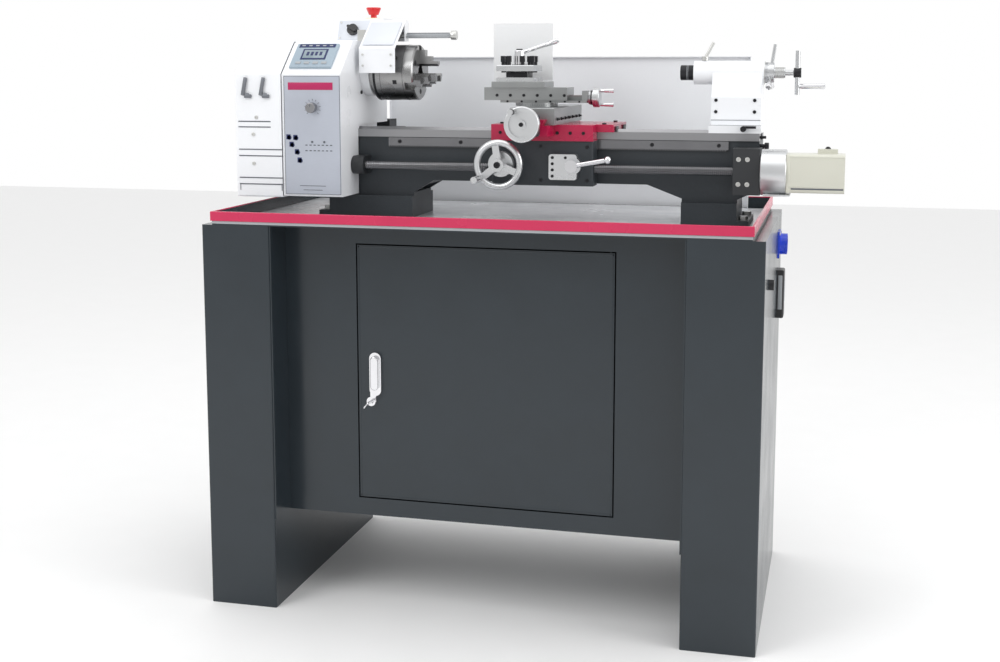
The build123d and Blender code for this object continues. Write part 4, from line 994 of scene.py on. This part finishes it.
# ---- Bed ----
@dataclass
class BedDress:
    """The rack's screws, the bracket screws, the drive's fittings and the bed's small parts."""

    rack_pitch: float = 5.2

    def build(self) -> None:
        """Build the bed's detail."""
        self._rack_teeth()
        self._screws()
        self._drive()
        self._lead_thread()
        self._conduit()

    def _rack_teeth(self) -> None:
        """Set the rack's screws and its row of teeth."""
        left, right = low("rack"), high("rack")
        rack = Mould().use(BLACK_STEEL)
        rack.screws(range(370, 1080, 140), (left.y + 3.0,), (1010.0,), -Y, 3.9, 2.8)
        rack.use(LEAD_STEEL)
        count = int((right.x - left.x) / self.rack_pitch)
        half = self.rack_pitch * 0.5
        for number in range(count):
            x = left.x + number * self.rack_pitch
            rack.box((x, left.y + 0.4, left.z - 2.6), (x + half, right.y - 0.2, left.z + 0.2), 0.3)
        rack.done("rack_teeth", "stand", "ground_steel")

    def _screws(self) -> None:
        """Add the bracket's cap screws, the way-end bolts and the stop."""
        front_face = low("leadscrew_brackets").y
        bolts = Mould().use(ZINC)
        bolts.screws((1116, 1134), (front_face + 5.0,), (935, 986), -Y, 4.9, 5.6)
        bolts.use(BLACK_STEEL).screws((1153.0,), (262, 338), (1000.0,), X, 6.0, 4.0)
        bolts.rod((1153, 246, 1010), (1163, 246, 1010), 4.0, round_by=0.5)
        bolts.rod((1163, 246, 1010), (1172, 246, 1010), 7.0, round_by=0.8, sides=6)
        bolts.rod((1153, 246, 1028), (1166, 246, 1028), 3.0, round_by=0.4)
        bolts.use(ZINC).screws((184, 196), (low("bed").y + 10,), (1005,), -Y, 4.5, 3.0)
        bolts.done("bed_bolts", "stand", "zinc")

    def _drive(self) -> None:
        """Add the coupling's foot plate and the servo's ridges and plugs."""
        left, right = low("coupling_housing"), high("coupling_housing")
        drive = Mould().use(ZINC)
        for angle in (45, 135, 225, 315):
            spot = around(X, on_screw(right.x), 40, math.radians(angle))
            drive.screw(spot, X, 3.4, 2.6)
        drive.use(TURNED_ALUMINIUM).box((left.x + 6, 170, left.z + 0.4), (right.x + 8, 230, 916), 1.2)
        drive.done("coupling_screws", "stand", "cast_aluminium")
        body_low, body_high = low("servo_motor"), high("servo_motor")
        servo = Mould().use(SERVO_CREAM)
        for z in (body_low.z + 12, 992.0):
            servo.box((body_low.x + 6, 160.4, z), (body_high.x - 1, 161.1, z + 2.6), 0.3)
        servo.use(INK_GREY)
        servo.box((body_low.x + 10, 160.3, 927.5), (body_high.x - 2, 161.15, 930.5), 0.3)
        servo.box((body_low.x + 0.1, 163.5, 922), (body_low.x + 3.0, 236.5, 996), 0.0)
        servo.use(SERVO_CREAM)
        servo.box((body_low.x + 0.05, 160.6, 921), (body_low.x + 7, 239.4, 997), 1.0)
        plug = body_low.x + 80
        servo.use(BLACK_PLASTIC).rod((plug, 223, 1006), (plug, 262, 1003), 6.0, round_by=1.5)
        servo.done("servo_ridges", "stand", "servo_paint")

    def _lead_thread(self) -> None:
        """Cut the thread of the feed screw, as a helical ridge on its core."""
        left, right = low("leadscrew").x, high("leadscrew").x
        thread = bmesh.new()
        pitch, crest, root, steps = 4.0, 10.0, 8.6, 12
        first_x, last_x = 301.0, 1103.0
        turns = int((last_x - first_x) / pitch)
        outline = ((0.0, root), (0.28, crest), (0.62, crest), (0.9, root), (1.0, root))
        start = at(*on_screw(first_x))
        loop = [thread.verts.new(start + Vector((x * pitch, 0, z)) * MM) for x, z in outline]
        edges = [thread.edges.new(pair) for pair in zip(loop, loop[1:])]
        bmesh.ops.spin(
            thread, geom=loop + edges, cent=start, axis=(1, 0, 0), dvec=(pitch * MM / steps, 0, 0),
            angle=math.tau * turns, steps=steps * turns, use_merge=False, use_duplicate=False,
        )
        bmesh.ops.remove_doubles(thread, verts=thread.verts, dist=2e-6)
        screw = Mould().use(LEAD_STEEL)
        old = screw.shape
        screw.shape = thread
        old.free()
        for face in thread.faces:
            face.smooth = True
        for start_x, end_x, radius, round_by in (
            (left, right, root - 0.6, 0.0), (left, 302.5, 8.0, 0.0),
            (1102.0, right, 8.0, 0.0), (1172.0, 1204.0, 17.0, 1.0),
        ):
            screw.rod(on_screw(start_x), on_screw(end_x), radius, round_by=round_by)
        screw.done("leadscrew_thread", "leadscrew", "ground_steel", ("leadscrew",))

    def _conduit(self) -> None:
        """Add the ribs and the glands of the cable conduit."""
        route = (
            (250, 470, 860), (250, 470, 880), (254, 469, 895), (268, 466, 905), (290, 461, 909),
            (330, 447, 913), (362, 430, 921), (386, 414, 931), (398, 396, 937), (400, 382, 938),
        )
        curve = bpy.data.curves.new("conduit_route", "CURVE")
        curve.dimensions = "3D"
        line = curve.splines.new("NURBS")
        line.points.add(len(route) - 1)
        for point, spot in zip(line.points, route):
            point.co = (*at(*spot), 1.0)
        line.order_u = 3
        line.use_endpoint_u = True
        line.resolution_u = 12
        carrier = bpy.data.objects.new("conduit_route", curve)
        path = [vert.co.copy() for vert in bpy.data.meshes.new_from_object(carrier).vertices]
        ribs = Mould().use(BLACK_PLASTIC)
        travelled = 0.0
        for a, b in zip(path, path[1:]):
            travelled += (b - a).length / MM
            if travelled > 4.4:
                travelled = 0.0
                spot = ((a + b) / 2 - Layout.origin) / MM
                ribs.ring(spot, (b - a).normalized(), 8.6, 1.3, 20, 6)
        ribs.rod((250, 470, 842.2), (250, 470, 858), 14.2, round_by=1.0, sides=6)
        ribs.done("conduit_ribs", "stand", "black_plastic")
        bpy.data.objects.remove(carrier)


# ---- Carriage ----
@dataclass
class CarriageDress:
    """The carriage's screws, dials, plates and way wipers."""

    def build(self) -> None:
        """Build the carriage's detail."""
        self._apron()
        self._saddle()
        self._cross_slide()
        self._compound()
        self._tool_post()

    def _apron(self) -> None:
        """Add the screws of the half-nut box and the apron."""
        face = low("half_nut_housing").y
        box = Mould().use(BLACK_STEEL).screws((729,), (face,), (945, 958, 971, 984), -Y, 3.2, 2.0)
        box.screw((757, face, 984), -Y, 3.0, 2.0)
        front_face = low("apron").y
        box.screws((700, 800), (front_face,), (935, 1006), -Y, 3.6, 2.4)
        box.done("apron_screws", "carriage", "casting_paint")
        wheel = Mould().use(CHROME)
        grip_low = low("apron_handwheel").y
        angle = math.radians(218)
        spot = around(Y, (APRON_WHEEL_X, grip_low + 0.2, APRON_WHEEL_Z), 46.5, angle)
        wheel.rod(spot, (spot.x, grip_low + 40, spot.z), 6.9, 7.6, 1.0)
        wheel.use(BLACK_STEEL).screw((APRON_WHEEL_X, 135, APRON_WHEEL_Z), -Y, 7.0, 3.0)
        wheel.use(TURNED_ALUMINIUM).ring((APRON_WHEEL_X, 175, APRON_WHEEL_Z), Y, 26.4, 1.2, 48, 8)
        wheel.use(INK_GREY).marks(Y, (APRON_WHEEL_X, 172, APRON_WHEEL_Z), 27.1, 40, 6, 8)
        wheel.done("apron_wheel_grip", "apron_handwheel", "cast_aluminium")

    def _saddle(self) -> None:
        """Add the way wipers and the screws of the saddle."""
        left, right = low("saddle"), high("saddle")
        wiper = Mould().use(BLACK_PLASTIC)
        for x in (left.x - 3.0, right.x - 0.2):
            for y in (233.0, 332.0):
                wiper.box((x, y, 1036.8), (x + 3.2, y + 34.0, 1047.5), 0.6)
        wiper.use(BLACK_STEEL)
        wiper.screws((604, 828), (228, 372), (SADDLE_TOP,), Z, 4.6, 3.2)
        wiper.screws((612, 640, 736, 764, 792), (180.0,), (1035,), -Y, 3.4, 2.2)
        wiper.done("saddle_screws", "carriage", "saddle_red")

    def _cross_slide(self) -> None:
        """Add the gib screws, the slots and the oil points of the cross slide."""
        left, right = low("cross_slide"), high("cross_slide")
        gibs = Mould().use(BLACK_STEEL)
        for y in range(180, 440, 40):
            gibs.screw((right.x, y, 1064), X, 3.4, 2.6)
            gibs.rod((right.x, y, 1064), (right.x + 6, y, 1064), 1.8, round_by=0.2, sides=14)
        for angle in range(0, 360, 72):
            spot = around(Z, (SWIVEL_X, SPINDLE_Y, right.z), 40, math.radians(angle))
            if abs(spot.y - SPINDLE_Y) > 33:
                gibs.screw(spot, Z, 4.4, 5.0)
        gibs.use(INK_GREY)
        for y in (188, 412):
            gibs.box((left.x + 0.6, y, right.z - 0.2), (right.x - 0.6, y + 9, right.z + 0.25), 0.1)
        gibs.done("cross_slide_screws", "cross_slide", "machined_iron")
        dial = Mould().use(INK_GREY)
        dial.marks(Y, (CROSS_WHEEL_X, 88, CROSS_WHEEL_Z), 22.0, 50, 6, 2, 0.4)
        dial.use(BLACK_STEEL).screw((CROSS_WHEEL_X, 52, CROSS_WHEEL_Z), -Y, 4.4, 3.0)
        grip_low = low("cross_handwheel").y + 0.1
        spot = around(Y, (CROSS_WHEEL_X, grip_low, CROSS_WHEEL_Z), 31, math.radians(125))
        dial.use(BLACK_PLASTIC).rod(spot, (spot.x, 47.5, spot.z), 5.4, 6.0, 0.8)
        dial.done("cross_dial_marks", "cross_handwheel", "cast_aluminium")

    def _compound(self) -> None:
        """Add the swivel's scale, the gib screws and the dial of the top slide."""
        scale = Mould().use(INK_GREY)
        for tick in range(-18, 19):
            spot = around(Z, (SWIVEL_X, SPINDLE_Y, 1089.5), 46.0, math.radians(tick * 5 - 90))
            scale.rod(spot, spot + Z * (3.0 if tick % 3 else 5.5), 0.35, sides=5)
        scale.use(BLACK_STEEL)
        face = low("compound_base").y + 14.0
        scale.screws(range(606, 770, 32), (face,), (1098.5,), -Y, 2.2, 1.6)
        scale.done("swivel_scale", "compound", "machined_iron")
        gibs = Mould().use(BLACK_STEEL)
        gibs.screws(range(584, 735, 30), (SPINDLE_Y - 38.0,), (1112,), -Y, 3.2, 2.2)
        gibs.done("top_slide_screws", "top_slide", "machined_iron")
        crank = Mould().use(INK_GREY).marks(X, (784, SPINDLE_Y, CRANK_Z), 15.0, 30, 6, 7.5)
        crank.use(BLACK_STEEL).ring((788, SPINDLE_Y, CRANK_Z), X, 15.2, 1.3, 40, 8)
        crank.use(CHROME)
        for z in (CRANK_Z - 15, CRANK_Z + 15):
            crank.rod((806, SPINDLE_Y, z), (835.5, SPINDLE_Y, z), 3.7, 4.6, 0.8)
        crank.done("top_crank_grips", "top_crank", "ground_steel")

    def _tool_post(self) -> None:
        """Add the index ring, the dark core and the lever's end of the tool post."""
        ring = Mould().use(BLACK_STEEL)
        ring.rod((POST_X, SPINDLE_Y, 1176.6), (POST_X, SPINDLE_Y, 1178.4), 17.0, round_by=0.4, sides=40)
        for start_x, end_x, start_y, end_y in (
            (601.4, 648.6, 275.5, 275.95), (601.4, 648.6, 324.05, 324.5),
            (600.5, 600.95, 276.4, 323.6), (649.05, 649.5, 276.4, 323.6),
        ):
            ring.box((start_x, start_y, 1150.4), (end_x, end_y, 1163.6), 0.1)
        ring.done("post_ring", "tool_post", "black_steel")
        lever = Mould().use(CHROME)
        tip = (POST_X + 84.0, SPINDLE_Y, 1229.6)
        lever.rod((POST_X + 58, SPINDLE_Y, 1221.3), tip, 5.2, 6.2, 1.6)
        lever.use(BLACK_STEEL).screw((POST_X, SPINDLE_Y, 1210), Z, 7.0, 2.6)
        lever.done("post_lever_grip", "tool_post_lever", "chromed")


# ---- Tailstock ----
@dataclass
class TailstockDress:
    """The tailstock's screws, quill band, dial marks and grips."""

    def build(self) -> None:
        """Build the tailstock's detail."""
        self._body()
        self._quill()
        self._wheel()

    def _body(self) -> None:
        """Add the side screws, the parting lines and the wheel's seat."""
        face = 254.0
        body = Mould().use(BLACK_STEEL)
        body.screws((1060, 1140), (face,), (1080, 1104), -Y, 3.6, 1.8)
        body.use(INK_GREY)
        body.box((1050, face - 0.5, 1062), (1153, face + 0.1, 1063.2), 0.1)
        body.box((1048.4, 229.6, 1052.6), (1155.6, 230.3, 1053.2))
        body.use(ZINC)
        body.rod(on_spindle(1156), on_spindle(1157), 24.0)
        body.done("tailstock_screws", "tailstock", "white_paint")

    def _quill(self) -> None:
        """Add the two light rings of the quill's end."""
        left = low("quill").x
        band = Mould().use(SOFT_GREY)
        for x in (left + 14.0, left + 16.5):
            band.ring(on_spindle(x), X, 15.7, 0.5, 48, 8)
        band.done("quill_band", "quill", "black_steel")

    def _wheel(self) -> None:
        """Add the dial's marks, the hub's knurl, the grip and the spokes' ends."""
        wheel = Mould().use(INK_GREY).marks(X, on_spindle(1158), 21.0, 40, 5, 8)
        wheel.use(ZINC).marks(X, on_spindle(1178), 10.9, 30, 19, 19, 0.6, 6)
        wheel.use(BLACK_STEEL)
        wheel.rod(on_spindle(1216.2), on_spindle(1231.8), 10.3, round_by=0.8)
        wheel.use(CHROME)
        wheel.rod((1228, SPINDLE_Y, 1133), (1280.5, SPINDLE_Y, 1133), 5.0, 6.2, 1.2)
        hub = Vector(on_spindle(1168))
        for direction in ((0, 0.87, -0.5), (0, -0.87, -0.5)):
            spoke = Vector(direction)
            wheel.rod(hub + spoke * 34, hub + spoke * 59.5, 3.8, 6.6, 1.2)
        wheel.done("quill_wheel_marks", "quill_handwheel", "ground_steel")


# ---- Chuck and guards ----
@dataclass
class ChuckDress:
    """The chuck's rings, band and socket screws, a dark square of painted shade for its key socket, and
    the guard's fittings.
    """

    def build(self) -> None:
        """Build the chuck's detail."""
        right = high("chuck_body").x
        rings = Mould().use(BLACK_STEEL)
        for x in (right - 76, right - 24):
            rings.ring(on_spindle(x), X, 61.4, 0.45, 96, 6)
        for angle in (30, 150, 270):
            spot = around(X, on_spindle(right), 42, math.radians(angle))
            rings.screw(spot, X, 6.0, 0.8)
        rings.rod(on_spindle(right - 92.5), on_spindle(right - 87), 61.9, round_by=0.3, sides=96)
        # A dark square on the chuck's side: painted shade standing for the key socket's hole.
        out = around(X, (0, 0, 0), 1.0, math.radians(200))
        tilt = Matrix((X, out.cross(X), out)).transposed()
        spot = Vector(on_spindle(right - 42)) + out * 61
        half = Vector((4.6, 4.6, 0.9))
        rings.box(spot - half, spot + half, 0.1, tilt)
        rings.done("chuck_rings", "spindle", "ground_steel")
        self._guard()

    def _guard(self) -> None:
        """Add the arm's sleeve, the shaft's cap, a pale bluish sheet of painted reflection on the
        guard's slope, and the guard's rivets.
        """
        shaft_z = 1243
        shaft = Mould().use(SOFT_GREY)
        shaft.box((367, 292.5, 1236.8), (469, 307.5, 1247.5), 2.0)
        shaft.use(INK_GREY).box((368, 293.5, 1247.4), (466, 306.5, 1248.6), 0.4)
        shaft.use(ZINC).rod((470.2, SPINDLE_Y, shaft_z), (481.8, SPINDLE_Y, shaft_z), 10.2, round_by=1.0)
        shaft.done("guard_arm_sleeve", "stand", "zinc")
        slope = Slope((324.5, 252.5, 1245.0), 62.0, 79.0)
        # A pale bluish sheet on the white guard's slope: painted reflection.
        guard_reflection_and_rivets = Mould().use(PALE_PLATE)
        slope.plate(guard_reflection_and_rivets, slope.spot(0, 0, 2.2), (36.0, 41.0, 0.5), 0.4)
        guard_reflection_and_rivets.use(ZINC).screws((292, 357), (211.0,), (1176, 1200), -Y, 2.6, 1.4)
        guard_reflection_and_rivets.done("guard_rivets", "chuck_guard", "white_paint")


SUB_ASSEMBLIES: tuple = (StandDress, HeadstockDress, BedDress, CarriageDress, TailstockDress, ChuckDress)


def main() -> None:
    """Load the frame, build every sub-assembly and set out the studio."""
    logging.basicConfig(level=logging.INFO, format="%(message)s")
    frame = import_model()
    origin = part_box("left_pedestal")[0]
    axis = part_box("spindle")
    dress_nodes(frame["nodes"], (axis[0] + axis[1]) / 2)
    Layout.origin = origin
    for part in SUB_ASSEMBLIES:
        part().build()
    Studio().build()


if __name__ == "__main__":
    main()
